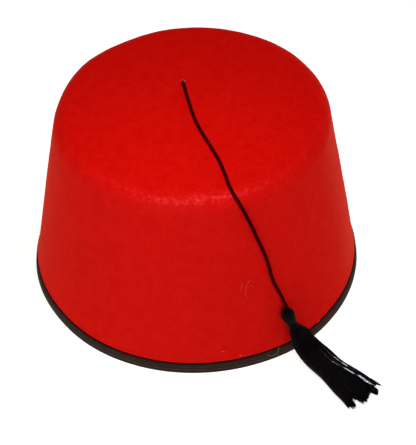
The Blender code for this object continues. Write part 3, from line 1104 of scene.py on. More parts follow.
@dataclass
class RimBinding:
    """The tape folded over the raw edge, lapped at the back and sewn through."""

    crown: FeltCrown
    tape: float = 1.0 * MM
    proud: float = 0.7 * MM
    outside_height: float = 6.0 * MM
    inside_height: float = 6.0 * MM
    gap: float = 0.3 * MM
    fold_radius: float = 0.3 * MM
    inner_radius: float = 0.1 * MM
    # Points of its section: on each side, round each bend, and round each edge with its corners.
    side_points: int = 5
    bend_points: int = 4
    edge_points: int = 5
    edge_ribs: tuple[float, ...] = (0.3, 0.6, 0.8)  # how much the ribs show round an edge
    ribs: int = 600
    points_a_rib: int = 4
    rib_height: float = 0.05 * MM
    waver: float = 0.12 * MM  # the tape's edges aren't quite level
    waver_reach: float = 4.0  # the more, the shorter its waves
    waver_place: float = 0.5  # another takes other waves
    lap_width: float = 13.0 * MM
    lap_height: float = 0.4 * MM
    lap_ramp: float = 0.4 * MM
    lap_azimuth_deg: float = 92.0
    stitch_pitch: float = 3.2 * MM
    stitch_share: float = 0.82  # of the pitch, from where the thread comes up to where it goes in
    stitch_rise: float = 0.75  # of the thread's radius, at its middle
    stitch_sunk: float = 0.45  # of the thread's radius, at its ends
    stitch_points: int = 7
    stitch_sides: int = 6
    stitch_radius: float = 0.16 * MM
    stitch_below_edge: float = 1.5 * MM
    tape_width: float = 15.5 * MM

    def fold(self, inset: float, radius: float) -> Array:
        """One face of the tape in section, from its outer edge round the felt to its inner edge.

        Args:
            inset: how far inside the tape's right side this face lies.
            radius: how round its two bends are.

        Returns:
            Rows of (distance outwards from the felt's side, height).
        """
        outside = self.proud - inset
        inside = inset - self.crown.felt - self.gap - self.tape
        bend = np.linspace(0.0, math.pi / 2, self.bend_points)
        first = (outside - radius + radius * np.cos(bend), inset + radius - radius * np.sin(bend))
        last = (inside + radius - radius * np.sin(bend), inset + radius - radius * np.cos(bend))
        bead = self.tape / 2
        down = np.linspace(self.outside_height - bead, inset + radius, self.side_points)[:-1]
        up = np.linspace(inset + radius, self.inside_height - bead, self.side_points)[1:]
        parts = ((np.full_like(down, outside), down), first, last, (np.full_like(up, inside), up))
        return np.vstack([np.stack(part, axis=1) for part in parts])

    def section(self) -> tuple[Array, Array]:
        """The tape's closed section.

        Returns:
            Rows of (outwards, height), and for each row 1 on the tape's right side, where the
            ribs show, and 0 on its wrong side.
        """
        right, wrong = self.fold(0.0, self.fold_radius), self.fold(self.tape, self.inner_radius)
        around = np.linspace(0.0, math.pi, self.edge_points)[1:-1]
        caps = []
        for start, end in ((right[-1], wrong[-1]), (wrong[0], right[0])):
            middle, arm = (start + end) / 2, (start - end) / 2
            rise = np.array([0.0, self.tape / 2])
            caps.append([middle + arm * math.cos(a) + rise * math.sin(a) for a in around])
        rows = np.vstack([right, caps[0], wrong[::-1], caps[1]])
        shows = [np.ones(len(right)), self.edge_ribs[::-1], np.zeros(len(wrong)), self.edge_ribs]
        return rows, np.concatenate(shows)

    def lapped(self, turn: Array) -> Array:
        """How much further out the tape lies where one end laps over the other.

        Args:
            turn: directions round the hat, in radians.

        Returns:
            Distances outwards, in metres.
        """
        apart = turned_from(turn, math.radians(self.lap_azimuth_deg), 2 * math.pi)
        arc = np.abs(apart) * self.crown.rim_radius
        end = self.lap_width / 2
        return self.lap_height * (1.0 - smooth_step(arc, end - self.lap_ramp, end))

    def build(self) -> bpy.types.Object:
        """Build the tape.

        Returns:
            The piece.
        """
        rows, shows = self.section()
        columns = self.ribs * self.points_a_rib
        turn = 2 * math.pi * np.arange(columns) / columns
        rib = self.rib_height * np.cos(self.ribs * turn)[:, None] * shows[None, :]
        lap = self.lapped(turn)[:, None] * shows[None, :]
        tangent = unit(np.roll(rows, -1, axis=0) - np.roll(rows, 1, axis=0))
        normal = np.stack([-tangent[:, 1], tangent[:, 0]], axis=1)
        reach = self.waver_reach
        ways = ((reach * math.cos(a), reach * math.sin(a), self.waver_place) for a in turn)
        wave = np.array([noise.noise(Vector(way)) for way in ways])
        rise = rows[None, :, 1] / self.outside_height
        outwards = rows[None, :, 0] + normal[None, :, 0] * (rib + lap)
        height = rows[None, :, 1] + normal[None, :, 1] * rib
        height = height + self.waver * wave[:, None] * rise
        swell = self.crown.swelling(np.degrees(turn)[:, None], height)
        radius = self.crown.side_radius(height) + outwards + swell
        height = np.maximum(height, 0.0)
        rings = np.stack([radius * np.cos(turn)[:, None], radius * np.sin(turn)[:, None], height], axis=-1)
        tape = Strands()
        tape.add(rings, joined=True)
        binding = tape.to_object("folded_tape", RibbedTape().material())
        return settle(binding, Slot.TAPE, "rim_binding")

    def build_stitches(self) -> bpy.types.Object:
        """Build the two rows of stitches that hold the tape, outside and inside.

        Returns:
            The piece.
        """
        stitches = Strands()
        share = np.linspace(0.0, 1.0, self.stitch_points)
        bow = self.stitch_rise * np.sin(math.pi * share) - self.stitch_sunk
        inside = -self.crown.felt - self.gap - self.tape
        for offset, top, outward in (
            (self.proud, self.outside_height, 1.0),
            (inside, self.inside_height, -1.0),
        ):
            height = top - self.stitch_below_edge
            base = self.crown.side_radius(height) + offset
            count = round(2 * math.pi * base / self.stitch_pitch)
            for k in range(count):
                start = 2 * math.pi * k / count
                angle = start + self.stitch_share * share * 2 * math.pi / count
                level = np.full_like(angle, height)
                lap = self.lapped(angle) if outward > 0 else 0.0
                swell = self.crown.swelling(np.degrees(angle), level)
                radius = base + self.stitch_radius * bow * outward + lap + swell
                path = np.stack([radius * np.cos(angle), radius * np.sin(angle), level], axis=1)
                stitches.add_tube(path, self.stitch_radius, self.stitch_sides)
        sewn = stitches.to_object("binding_stitches", RibbedTape(name="cotton sewing thread").material())
        return settle(sewn, Slot.TAPE)


# --- loose fibres ------------------------------------------------------------------------------


@dataclass(frozen=True)
class Hair:
    """One loose fibre: its thickness, how far it stands off, and its way along the side."""

    thickness: float
    stand_off: float
    way: tuple[tuple[float, float], ...]  # azimuth_deg and height_mm of each of its points


@dataclass
class LooseFibres:
    """Fibres that cling to the hat: curled hairs and flecks on the felt, thread on the tape."""

    crown: FeltCrown
    binding: RimBinding
    step: float = 0.3 * MM
    sides: int = 6
    on_felt: tuple[Hair, ...] = (
        Hair(
            0.17 * MM,
            0.3 * MM,
            (
                (-70.2, 57.9),
                (-71.1, 57.4),
                (-71.6, 56.0),
                (-72.1, 54.0),
                (-72.3, 52.0),
                (-72.6, 50.3),
                (-72.5, 48.8),
                (-71.9, 47.4),
            ),
        ),
        Hair(0.15 * MM, 0.3 * MM, ((-73.4, 57.0), (-73.8, 55.3), (-74.1, 53.5), (-74.3, 52.5))),
        Hair(0.12 * MM, 0.3 * MM, ((-70.4, 54.5), (-69.8, 53.8), (-69.1, 52.3))),
        Hair(0.7 * MM, 0.3 * MM, ((-76.2, 8.8), (-75.9, 9.1), (-75.7, 9.3))),
        Hair(0.16 * MM, 0.3 * MM, ((-75.7, 8.7), (-74.6, 8.6), (-73.6, 8.6), (-72.5, 8.2))),
        Hair(0.26 * MM, 0.3 * MM, ((-82.4, 13.8), (-81.9, 13.9), (-81.3, 13.6))),
        Hair(0.34 * MM, 0.4 * MM, ((-44.6, 7.0), (-43.8, 7.1), (-43.0, 7.0))),
    )
    on_tape: tuple[Hair, ...] = (
        Hair(
            0.16 * MM,
            0.15 * MM,
            (
                (-66.8, 4.8),
                (-65.5, 3.2),
                (-64.5, 2.7),
                (-63.7, 2.7),
                (-62.7, 3.5),
                (-62.2, 5.0),
                (-61.9, 6.5),
            ),
        ),
    )
    # Where the cord leaves its hole: a pale grey speck, and a pale red arc beside it, each a thin tube.
    pale_speck_mm: tuple[tuple[float, float, float], ...] = (
        (-3.8, 21.4, 113.3),
        (-3.65, 21.5, 114.0),
        (-3.4, 21.4, 114.6),
    )
    pale_speck_radius: float = 0.27 * MM
    pale_arc_mm: tuple[tuple[float, float, float], ...] = (
        (-6.0, 23.2, 113.2),
        (-5.55, 23.8, 113.4),
        (-4.8, 24.2, 113.5),
        (-4.1, 23.9, 113.5),
    )
    pale_arc_radius: float = 0.2 * MM

    def lay(self, strands: Strands, hair: Hair, surface: float) -> None:
        """Lay a hair on the hat's side.

        Args:
            strands: the mesh that it goes in.
            hair: the hair.
            surface: how far outside the felt's side the surface that it lies on is.
        """
        places = []
        for azimuth_deg, height_mm in hair.way:
            turn, height = math.radians(azimuth_deg), height_mm * MM
            swell = float(self.crown.swelling(np.array([azimuth_deg]), np.array([height]))[0])
            out = float(self.crown.side_radius(height)) + swell + surface + hair.stand_off
            places.append([out * math.cos(turn) / MM, out * math.sin(turn) / MM, height_mm])
        strands.add_tube(through(places, self.step), hair.thickness / 2, self.sides)

    def build(self) -> list[bpy.types.Object]:
        """Build the fibres.

        Returns:
            The piece on the felt and the piece on the tape.
        """
        wool, thread = Strands(), Strands()
        for hair in self.on_felt:
            self.lay(wool, hair, self.crown.nap)
        for hair in self.on_tape:
            self.lay(thread, hair, self.binding.proud)
        thread.add_tube(through(self.pale_speck_mm, self.step), self.pale_speck_radius, self.sides)
        wool.add_tube(through(self.pale_arc_mm, self.step), self.pale_arc_radius, self.sides)
        clinging = wool.to_object("wool_fluff", WOOL_FLUFF.material())
        loose = thread.to_object("thread_fluff", THREAD_FLUFF.material())
        return [settle(clinging, Slot.FELT), settle(loose, Slot.TAPE)]


# --- cord --------------------------------------------------------------------------------------


@dataclass(frozen=True)
class Rope:
    """How a cord is laid: its plies, and the yarns that each ply is spun from."""

    radius: float = 1.05 * MM
    plies: int = 2
    lay: float = 4.8 * MM  # one full turn of a ply
    fullness: float = 0.66  # a ply's radius, of the rope's
    yarns: int = 6
    yarn_lay: float = 2.6 * MM
    yarn_depth: float = 0.09  # of the ply's radius
    sides: int = 18
    twist: Twist = Twist.Z

    def lay_on(self, strands: Strands, path: Array, joined: bool = False) -> None:
        """Lay the plies along a path.

        Args:
            strands: the mesh that they go in.
            path: the middle of the rope, with points about 0.35 mm apart.
            joined: whether the path closes on itself.
        """
        side, up = carried_frames(path)
        length = along_path(path)
        whole = length[-1] if joined else self.lay
        turns = max(1, round(whole / self.lay)) if joined else 1
        pitch = whole / turns
        if joined:  # spread the frame's own turn over the ring, so that its ends meet
            miss = math.atan2(float(side[-1] @ up[0]), float(side[-1] @ side[0]))
            spin = -miss * length / length[-1]
            side, up = (
                side * np.cos(spin)[:, None] + up * np.sin(spin)[:, None],
                up * np.cos(spin)[:, None] - side * np.sin(spin)[:, None],
            )
            path, side, up, length = path[:-1], side[:-1], up[:-1], length[:-1]
        ply_radius = self.radius * self.fullness
        reach = self.radius - ply_radius
        around = 2 * math.pi * np.arange(self.sides) / self.sides
        for ply in range(self.plies):
            phase = 2 * math.pi * (ply / self.plies + self.twist * length / pitch)
            middle = path + reach * (np.cos(phase)[:, None] * side + np.sin(phase)[:, None] * up)
            ply_side, ply_up = (side, up) if joined else carried_frames(middle, side[0])
            spun = self.twist * 2 * math.pi * length[:, None] / self.yarn_lay
            groove = 0.5 - 0.5 * np.cos(self.yarns * (around[None, :] + spun))
            radius = ply_radius * (1.0 - self.yarn_depth * groove)
            wave = np.cos(around)[None, :, None] * ply_side[:, None]
            wave = wave + np.sin(around)[None, :, None] * ply_up[:, None]
            strands.add(middle[:, None] + radius[..., None] * wave, joined)


@dataclass
class TasselCord:
    """The cord from its stop knot up through the hole, over the hat and into the tassel."""

    rope: Rope = Rope()
    knot_rope: Rope = Rope(radius=0.95 * MM)
    knot_scale: float = 0.62 * MM
    knot_depth: float = 1.9  # of its scale
    knot_points: int = 160
    step: float = 0.35 * MM
    length: float = 0.205
    exit: tuple[float, float, float] = (-4.65 * MM, 21.9 * MM, 113.0 * MM)
    # The middle of the cord from under the top to the tassel's head, within 1 mm of the solid's.
    route_mm: tuple[tuple[float, float, float], ...] = (
        (-4.7, 21.9, 111.2),
        (-4.7, 22.2, 112.1),
        (-4.6, 21.4, 113.3),
        (-4.4, 19.4, 114.2),
        (-3.8, 16.2, 114.4),
        (-2.9, 11.0, 114.3),
        (-1.3, 2.2, 114.3),
        (0.4, -6.7, 114.3),
        (2.6, -15.0, 114.3),
        (5.3, -22.8, 114.3),
        (8.1, -30.2, 114.3),
        (10.8, -37.2, 114.3),
        (13.3, -44.0, 114.3),
        (15.2, -50.8, 114.3),
        (16.5, -56.4, 114.35),
        (17.4, -61.0, 114.35),
        (18.4, -65.2, 114.35),
        (19.5, -68.3, 114.0),
        (20.6, -70.6, 113.0),
        (21.8, -72.3, 111.6),
        (23.2, -73.7, 109.6),
        (24.3, -74.5, 107.3),
        (25.6, -74.7, 104.5),
        (26.8, -74.75, 101.4),
        (29.0, -74.8, 95.5),
        (31.2, -74.9, 89.2),
        (33.3, -75.1, 82.9),
        (35.6, -75.3, 76.1),
        (37.7, -75.5, 69.3),
        (39.4, -75.8, 62.3),
        (40.7, -76.3, 55.5),
        (42.7, -76.6, 49.4),
        (45.1, -76.8, 43.4),
        (46.8, -77.8, 39.8),
        (48.2, -78.9, 36.3),
        (49.1, -79.3, 33.6),
    )
    # Its ends, which the knot and the tassel hide.
    start_mm: tuple[tuple[float, float, float], ...] = ((-4.7, 21.4, 109.4),)
    end_mm: tuple[tuple[float, float, float], ...] = (
        (50.2, -79.8, 29.5),
        (52.1, -80.4, 23.6),
        (54.9, -81.6, 18.2),
        (59.2, -84.7, 11.4),
    )

    def path(self) -> Array:
        """The middle of the cord."""
        return through((*self.start_mm, *self.route_mm, *self.end_mm), self.step)

    def build(self) -> bpy.types.Object:
        """Build the cord.

        Returns:
            The piece.
        """
        strands = Strands()
        self.rope.lay_on(strands, self.path())
        cord = strands.to_object("laid_cord", CORD_RAYON.material())
        return settle(cord, Slot.CORD, "tassel_cord")

    def build_stop_knot(self) -> bpy.types.Object:
        """Build the knot under the top that keeps the cord in its hole, as a trefoil.

        Returns:
            The piece.
        """
        low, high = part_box("cord_knot")
        centre = np.array((low + high) / 2)
        turn = np.linspace(0.0, 2 * math.pi, self.knot_points)
        x = np.sin(turn) + 2 * np.sin(2 * turn)
        y = np.cos(turn) - 2 * np.cos(2 * turn)
        z = -self.knot_depth * np.sin(3 * turn)
        strands = Strands()
        path = centre + self.knot_scale * np.stack([x, y, z], axis=1)
        self.knot_rope.lay_on(strands, path, joined=True)
        knot = strands.to_object("stop_knot", bpy.data.materials[CORD_RAYON.name])
        return settle(knot, Slot.CORD, "cord_knot")


# --- tassel ------------------------------------------------------------------------------------


@dataclass
class TasselHead:
    """The head: floss drawn from an eye of cord over a ball and down to the waist."""

    centre_mm: tuple[float, float, float] = (49.6, -80.0, 29.4)
    axis: tuple[float, float, float] = (0.345, -0.086, -0.935)  # towards the skirt
    facing: tuple[float, float, float] = (-0.07, -0.7, 0.71)  # towards the front, where the eye leans
    radius: float = 3.9 * MM
    waist_radius: float = 2.4 * MM
    waist_distance: float = 6.3 * MM
    fullness: float = 0.9  # below 1 the head narrows later towards the waist
    eye_tilt_deg: float = 28.0
    eye_tilt_span: tuple[float, float] = (0.2, 1.3)  # the latitudes between which the tilt fades
    eye_lean_deg: float = 31.0  # from the eye's middle to its ring
    eye_rope: Rope = Rope(radius=0.85 * MM, lay=5.0 * MM)
    eye_sunk: float = 0.45 * MM
    eye_points: int = 90
    strand_count: int = 56
    strand_sides: int = 8
    strand_points: int = 34
    strand_span: tuple[float, float] = (0.32, 1.08 * math.pi)  # the latitudes from end to end
    strand_overlap: float = 1.2  # of the width that would just fill the head
    strand_sunk: float = 0.9  # of a strand's own radius
    strand_waver: float = 0.05
    strand_waver_step: float = 2.7  # from strand to strand
    swirl_deg: float = 40.0
    neck_turns: int = 6
    neck_thread: float = 0.24 * MM
    neck_sides: int = 8
    neck_points_a_turn: int = 28
    neck_bite: float = 0.05 * MM  # how deep the thread lies in the floss
    neck_waver: float = 0.06 * MM
    neck_waver_rate: float = 9.0  # in radians a turn
    neck_length: float = 2.2 * MM
    # The bound floss under the thread: from and to where, seen from the waist, and how thick.
    bound_span: tuple[float, float] = (-0.8 * MM, 3.4 * MM)
    bound_inset: float = 0.25 * MM
    bound_rows: int = 8
    bound_sides: int = 20
    gap: float = 0.3 * MM

    def directions(self) -> tuple[Array, Array, Array]:
        """Find the head's own three directions.

        Returns:
            The axis towards the skirt, the way to the front across it, and the third way.
        """
        axis = unit(np.array(self.axis))
        front = np.array(self.facing)
        front = unit(front - axis * float(front @ axis))
        return axis, front, np.cross(axis, front)

    def surface(self, latitude: Array, turn: Array) -> Array:
        """Places on the head's surface.

        Args:
            latitude: angles from the eye, in radians; past a right angle the head tapers.
            turn: angles round the head, in radians.

        Returns:
            Points in the hat's frame.
        """
        axis, front, side = self.directions()
        tilt = math.radians(self.eye_tilt_deg) * (1.0 - smooth_step(latitude, *self.eye_tilt_span))
        pole = -np.cos(tilt)[..., None] * axis + np.sin(tilt)[..., None] * front
        across = unit(front - pole * (pole @ front)[..., None])
        beside = np.cross(pole, across)
        ring = np.cos(turn)[..., None] * across + np.sin(turn)[..., None] * beside
        taper = np.clip((latitude - math.pi / 2) / (math.pi / 2), 0.0, 1.0)
        full = np.cos(math.pi / 2 * taper) ** self.fullness
        swell = self.waist_radius + (self.radius - self.waist_radius) * full
        upper = latitude < math.pi / 2
        radius = np.where(upper, self.radius * np.sin(latitude), swell)
        down = np.where(upper, -self.radius * np.cos(latitude), self.waist_distance * taper)
        return np.array(self.centre_mm) * MM + radius[..., None] * ring - down[..., None] * pole

    def girth(self, latitude: Array) -> Array:
        """About how wide the head is, which sets how thick the strands over it are.

        Args:
            latitude: angles from the eye, in radians.

        Returns:
            Radii, in metres.
        """
        upper = self.radius * np.sin(np.clip(latitude, 0.0, math.pi / 2))
        lower = np.interp(latitude, (math.pi / 2, math.pi), (self.radius, self.waist_radius))
        return np.where(latitude > math.pi / 2, lower, upper)

    def inwards(self, places: Array) -> Array:
        """The way from places to the head's middle."""
        return unit(np.array(self.centre_mm) * MM - places)

    def build(self) -> list[bpy.types.Object]:
        """Build the head's floss and its eye.

        Returns:
            The two pieces.
        """
        floss = Strands()
        latitude = np.linspace(*self.strand_span, self.strand_points)
        for k in range(self.strand_count):
            start = 2 * math.pi * k / self.strand_count
            waver = self.strand_waver * math.sin(self.strand_waver_step * k)
            turn = start + math.radians(self.swirl_deg) * latitude / math.pi + waver * np.sin(3 * latitude)
            path = self.surface(latitude, turn)
            thick = self.strand_overlap * math.pi * self.girth(latitude) / self.strand_count
            sunk = self.inwards(path) * thick[:, None] * self.strand_sunk
            floss.add_tube(path + sunk, thick, self.strand_sides)
        head = floss.to_object("head_floss", FLOSS_RAYON.material())
        settle(head, Slot.FLOSS, "tassel_head")
        turn = np.linspace(0.0, 2 * math.pi, self.eye_points)
        ring = self.surface(np.full_like(turn, math.radians(self.eye_lean_deg)), turn)
        cord = Strands()
        self.eye_rope.lay_on(cord, ring + self.inwards(ring) * self.eye_sunk, joined=True)
        eye = cord.to_object("head_eye", bpy.data.materials[FLOSS_RAYON.name])
        return [head, settle(eye, Slot.CORD)]

    def build_neck(self) -> bpy.types.Object:
        """Build the thread wound round the waist, and the bound floss under it.

        Returns:
            The piece.
        """
        axis, front, side = self.directions()
        centre = np.array(self.centre_mm) * MM
        turns = np.linspace(0.0, self.neck_turns, self.neck_turns * self.neck_points_a_turn)
        start = self.waist_distance + self.gap / 2 + self.neck_thread
        along = start + (self.neck_length - self.neck_thread) * turns / self.neck_turns
        angle = 2 * math.pi * turns
        waver = self.neck_waver * np.sin(self.neck_waver_rate * turns)
        radius = self.waist_radius - self.neck_bite + waver
        ring = np.cos(angle)[:, None] * front + np.sin(angle)[:, None] * side
        thread = Strands()
        path = centre + along[:, None] * axis + radius[:, None] * ring
        thread.add_tube(path, self.neck_thread, self.neck_sides)
        low, high = (self.waist_distance + away for away in self.bound_span)
        bound = centre + np.linspace(low, high, self.bound_rows)[:, None] * axis
        thread.add_tube(bound, self.waist_radius - self.bound_inset, self.bound_sides)
        neck = thread.to_object("neck_winding", bpy.data.materials[FLOSS_RAYON.name])
        return settle(neck, Slot.FLOSS, "tassel_neck")


@dataclass(frozen=True)
class Lock:
    """One lock of the skirt: where it lies in the bunch's section, in shares of its half sizes."""

    number: int  # sets how it waves
    across: float
    rise: float
    half_width: float
    half_thickness: float
    tilt_deg: float


@dataclass(frozen=True)
class Layer:
    """One layer of a lock's threads."""

    share: float  # how far out from the lock's middle, where 1 is its outside
    every: int  # 1 is each of the threads, and 2 every other one
    points: int  # down a thread
    reach: float | None = None  # how far up from the skirt's end; without it, all the way


@dataclass(frozen=True)
class Thread:
    """Where one thread lies in its lock."""

    turn: float  # round the lock, in radians
    phase: float  # of its own waver
    share: float  # how far out from the lock's middle


@dataclass
class TasselSkirt:
    """The skirt: floss in clumped locks that spread on the table and end unevenly."""

    # Sections of the bunch, within about 1 mm of the solid's.
    rows_mm: tuple[tuple[float, ...], ...] = (
        # x, y, z, half_width, half_thickness
        (51.8, -80.3, 24.3, 2.1, 2.1),
        (53.04, -80.68, 21.0, 2.3, 2.3),
        (54.5, -81.9, 18.2, 4.6, 3.0),
        (56.6, -83.0, 15.0, 5.85, 3.4),
        (58.8, -85.1, 11.4, 6.7, 3.7),
        (62.1, -87.8, 8.4, 7.45, 3.8),
        (66.8, -92.3, 6.0, 7.9, 3.9),
        (72.8, -99.6, 4.7, 7.75, 3.9),
        (80.2, -108.4, 4.1, 10.0, 3.6),
        (86.2, -114.6, 3.7, 11.4, 3.3),
        (92.3, -121.2, 3.2, 13.4, 2.8),
    )
    head_start: float = 3.5 * MM  # what lies before the neck's lower end
    step: float = 0.5 * MM
    # Where the floss ends across the bunch: long points with bites between them.
    end_profile: tuple[tuple[float, float], ...] = (
        # across, end_mm after the neck
        (-1.1, 58.6),
        (-1.03, 60.6),
        (-0.96, 59.4),
        (-0.91, 57.6),
        (-0.8, 58.3),
        (-0.74, 58.6),
        (-0.67, 61.8),
        (-0.57, 62.8),
        (-0.48, 62.7),
        (-0.44, 59.8),
        (-0.36, 59.1),
        (-0.22, 60.2),
        (-0.12, 61.1),
        (-0.03, 60.3),
        (0.04, 62.2),
        (0.1, 62.2),
        (0.15, 60.8),
        (0.24, 62.0),
        (0.29, 60.8),
        (0.33, 57.6),
        (0.42, 56.6),
        (0.57, 56.3),
        (0.62, 57.5),
        (0.66, 61.2),
        (0.72, 60.4),
        (0.79, 58.6),
        (0.86, 58.3),
        (0.94, 58.8),
        (1.04, 58.6),
    )
    # Where the threads draw together across the bunch.
    clumps: tuple[float, ...] = (-1.0, -0.57, -0.32, -0.12, 0.07, 0.23, 0.67, 0.8, 0.96)
    locks: tuple[Lock, ...] = (
        # number, across, rise, half_width, half_thickness, tilt_deg
        Lock(0, -0.78, 0.26, 0.27, 0.54, -24.0),
        Lock(1, -0.50, 0.42, 0.33, 0.50, -10.0),
        Lock(2, -0.24, 0.48, 0.32, 0.48, -3.0),
        Lock(3, 0.02, 0.50, 0.34, 0.46, 2.0),
        Lock(4, 0.28, 0.48, 0.33, 0.48, 3.0),
        Lock(5, 0.54, 0.40, 0.32, 0.50, 10.0),
        Lock(6, 0.78, 0.24, 0.27, 0.56, 22.0),
        Lock(7, -0.72, -0.38, 0.28, 0.58, 14.0),
        Lock(8, -0.28, -0.46, 0.32, 0.54, 4.0),
        Lock(9, 0.24, -0.46, 0.32, 0.54, -4.0),
        Lock(10, 0.70, -0.38, 0.28, 0.58, -14.0),
        Lock(11, -0.40, 0.05, 0.34, 0.60, 0.0),
        Lock(12, 0.10, 0.05, 0.36, 0.60, 0.0),
        Lock(13, 0.48, 0.05, 0.30, 0.60, 0.0),
    )
    # Wisps combed flat towards the right edge, whose faces catch the window's light in places.
    wisps: tuple[tuple[tuple[float, ...], ...], ...] = (
        (
            # along_mm, across, rise, half_width_mm, turned_deg away from the window's light
            (22.0, -0.61, 0.86, 0.25, 40.0),
            (28.0, -0.63, 0.88, 0.5, 30.0),
            (31.0, -0.68, 0.9, 0.6, 0.0),
            (33.4, -0.715, 0.88, 0.6, 0.0),
            (34.6, -0.73, 0.88, 0.65, 24.0),
            (36.2, -0.735, 0.89, 0.75, 0.0),
            (39.2, -0.73, 0.88, 0.75, 0.0),
            (41.0, -0.73, 0.86, 0.6, 28.0),
            (45.0, -0.745, 0.84, 0.4, 40.0),
            (49.0, -0.75, 0.78, 0.2, 40.0),
        ),
        (
            (30.0, -0.38, 0.98, 0.25, 45.0),
            (35.0, -0.42, 1.0, 0.5, 40.0),
            (38.4, -0.455, 1.01, 0.7, 24.0),
            (40.4, -0.47, 1.01, 0.85, 0.0),
            (46.0, -0.52, 1.0, 0.9, 0.0),
            (47.7, -0.56, 0.97, 0.95, 22.0),
            (49.4, -0.585, 0.97, 1.0, 0.0),
            (52.0, -0.57, 0.97, 1.35, 0.0),
            (54.5, -0.555, 0.96, 1.5, 2.0),
            (57.2, -0.58, 0.94, 1.1, 6.0),
            (58.8, -0.62, 0.88, 0.6, 10.0),
            (60.0, -0.64, 0.8, 0.3, 20.0),
        ),
        (
            (20.0, -0.27, 0.9, 0.2, 40.0),
            (24.8, -0.28, 0.93, 0.4, 30.0),
            (25.6, -0.28, 0.94, 0.45, 5.0),
            (26.4, -0.28, 0.94, 0.4, 30.0),
            (30.6, -0.27, 0.99, 0.4, 30.0),
            (31.8, -0.275, 1.0, 0.6, 7.5),
            (35.6, -0.33, 1.03, 0.65, 7.5),
            (36.6, -0.34, 1.03, 0.5, 30.0),
            (40.0, -0.35, 1.0, 0.2, 40.0),
        ),
    )
    wisp_facing: tuple[float, float, float] = (0.331, 0.238, 0.913)  # to catch the window's light
    wisp_thickness: float = 0.16 * MM  # half of it
    wisp_rows: int = 90
    wisp_sides: int = 24
    wisp_squareness: float = 0.6  # 1 is an ellipse, and less is flatter on top
    wisp_start_mm: tuple[float, float] = (-1.0, 4.0)  # from its first row, where it grows thick
    wisp_end_mm: tuple[float, float] = (-3.0, 0.3)  # from its last row, where it ends
    # How a lock waves and turns, and how far after the neck each sets in.
    lock_wave: float = 0.045
    lock_wave_length: float = 9.0 * MM
    lock_wave_shift: float = 1.9  # from lock to lock
    lock_wave_span: tuple[float, float] = (4.0 * MM, 20.0 * MM)
    lock_tilt_span: tuple[float, float] = (3.0 * MM, 16.0 * MM)
    # The dark inside of a lock, under its threads.
    core_share: float = 0.86  # of the lock
    core_taper: float = 0.6
    core_taper_length: float = 9.0 * MM
    core_short: float = 7.0 * MM  # of the threads' ends
    core_rows: int = 46
    core_sides: int = 20
    first_row: float = 1.2 * MM  # from the bunch's start to that of the locks
    # A lock's threads, and how each differs a little from the next.
    whole_threads: Layer = Layer(share=1.0, every=1, points=28)
    short_threads: Layer = Layer(share=0.62, every=2, points=11, reach=24.0 * MM)
    thread_radius: float = 0.2 * MM
    thread_pitch: float = 0.42 * MM  # from thread to thread round a lock
    thread_sides: int = 5
    turn_spread: float = 0.3  # of the pitch
    share_spread: tuple[float, float] = (-0.05, 0.04)
    phase_spread: float = 6.0
    end_spread_mm: float = 0.45
    measured_at: float = 56.0 * MM  # where a thread's place across tells how long it is
    drift: float = 0.15
    drift_length: float = 13.0 * MM
    drift_shift: float = 2.3  # from lock to lock
    waver: float = 0.05
    waver_length: float = 6.0 * MM
    # How the threads draw together towards their ends, and lie down.
    gather_length: float = 15.0 * MM
    clump_pull: float = 0.3
    flattening: float = 0.35
    sinking: float = 0.2
    # How thick they are where they leave the neck and at their tips, of their thickness.
    neck_thinness: float = 0.55
    neck_thin_length: float = 12.0 * MM
    tip_thinness: float = 0.5
    tip_thin_length: float = 2.5 * MM
    # Single threads that lie on the bunch from end to end.
    stray_threads: int = 24
    stray_share: tuple[float, float] = (0.98, 0.92)  # of the bunch's half width and half thickness
    stray_squareness: float = 0.7
    stray_short_mm: float = 1.2
    stray_start: float = 2.0 * MM
    stray_points: int = 60
    stray_sides: int = 5
    stray_radius: float = 0.13 * MM
    stray_wave: float = 0.06
    stray_rise_wave: float = 0.3  # of the wave across
    stray_wave_lengths_mm: tuple[float, float] = (9.0, 16.0)
    stray_flattening: float = 0.45
    stray_flat_length: float = 14.0 * MM
    floor: float = 0.25 * MM

    def __post_init__(self) -> None:
        """Work out the bunch's middle line and its sections."""
        rows = through(self.rows_mm, self.step)
        self.middle = rows[:, :3]
        self.half_width, self.half_thickness = rows[:, 3], rows[:, 4]
        self.along = along_path(self.middle) - self.head_start
        tangent = unit(np.gradient(self.middle, axis=0))
        self.side = unit(np.cross(tangent, np.array([0.0, 0.0, 1.0])))
        self.up = np.cross(self.side, tangent)
        ends = np.array(self.end_profile)
        self.end_across, self.end_along = ends[:, 0], ends[:, 1] * MM

    def at(self, along: Array, values: Array) -> Array:
        """A section's value between the sections.

        Args:
            along: distances after the neck.
            values: the value at each section.

        Returns:
            The values at those distances, by straight lines.
        """
        if values.ndim == 1:
            return np.interp(along, self.along, values)
        return np.stack([np.interp(along, self.along, values[:, k]) for k in range(3)], axis=-1)

    def place(self, along: Array, across: Array, rise: Array) -> Array:
        """Points in the bunch.

        Args:
            along: distances after the neck.
            across: shares of the half width.
            rise: shares of the half thickness.

        Returns:
            Points in the hat's frame, none below the table.
        """
        width, thick = self.at(along, self.half_width), self.at(along, self.half_thickness)
        points = self.at(along, self.middle)
        points = points + self.at(along, self.side) * (width * across)[..., None]
        points = points + self.at(along, self.up) * (thick * rise)[..., None]
        points[..., 2] = np.maximum(points[..., 2], self.floor)
        return points

    def ends_at(self, across: Array | float) -> Array | float:
        """How long the floss is at a place across the bunch."""
        return np.interp(across, self.end_across, self.end_along)

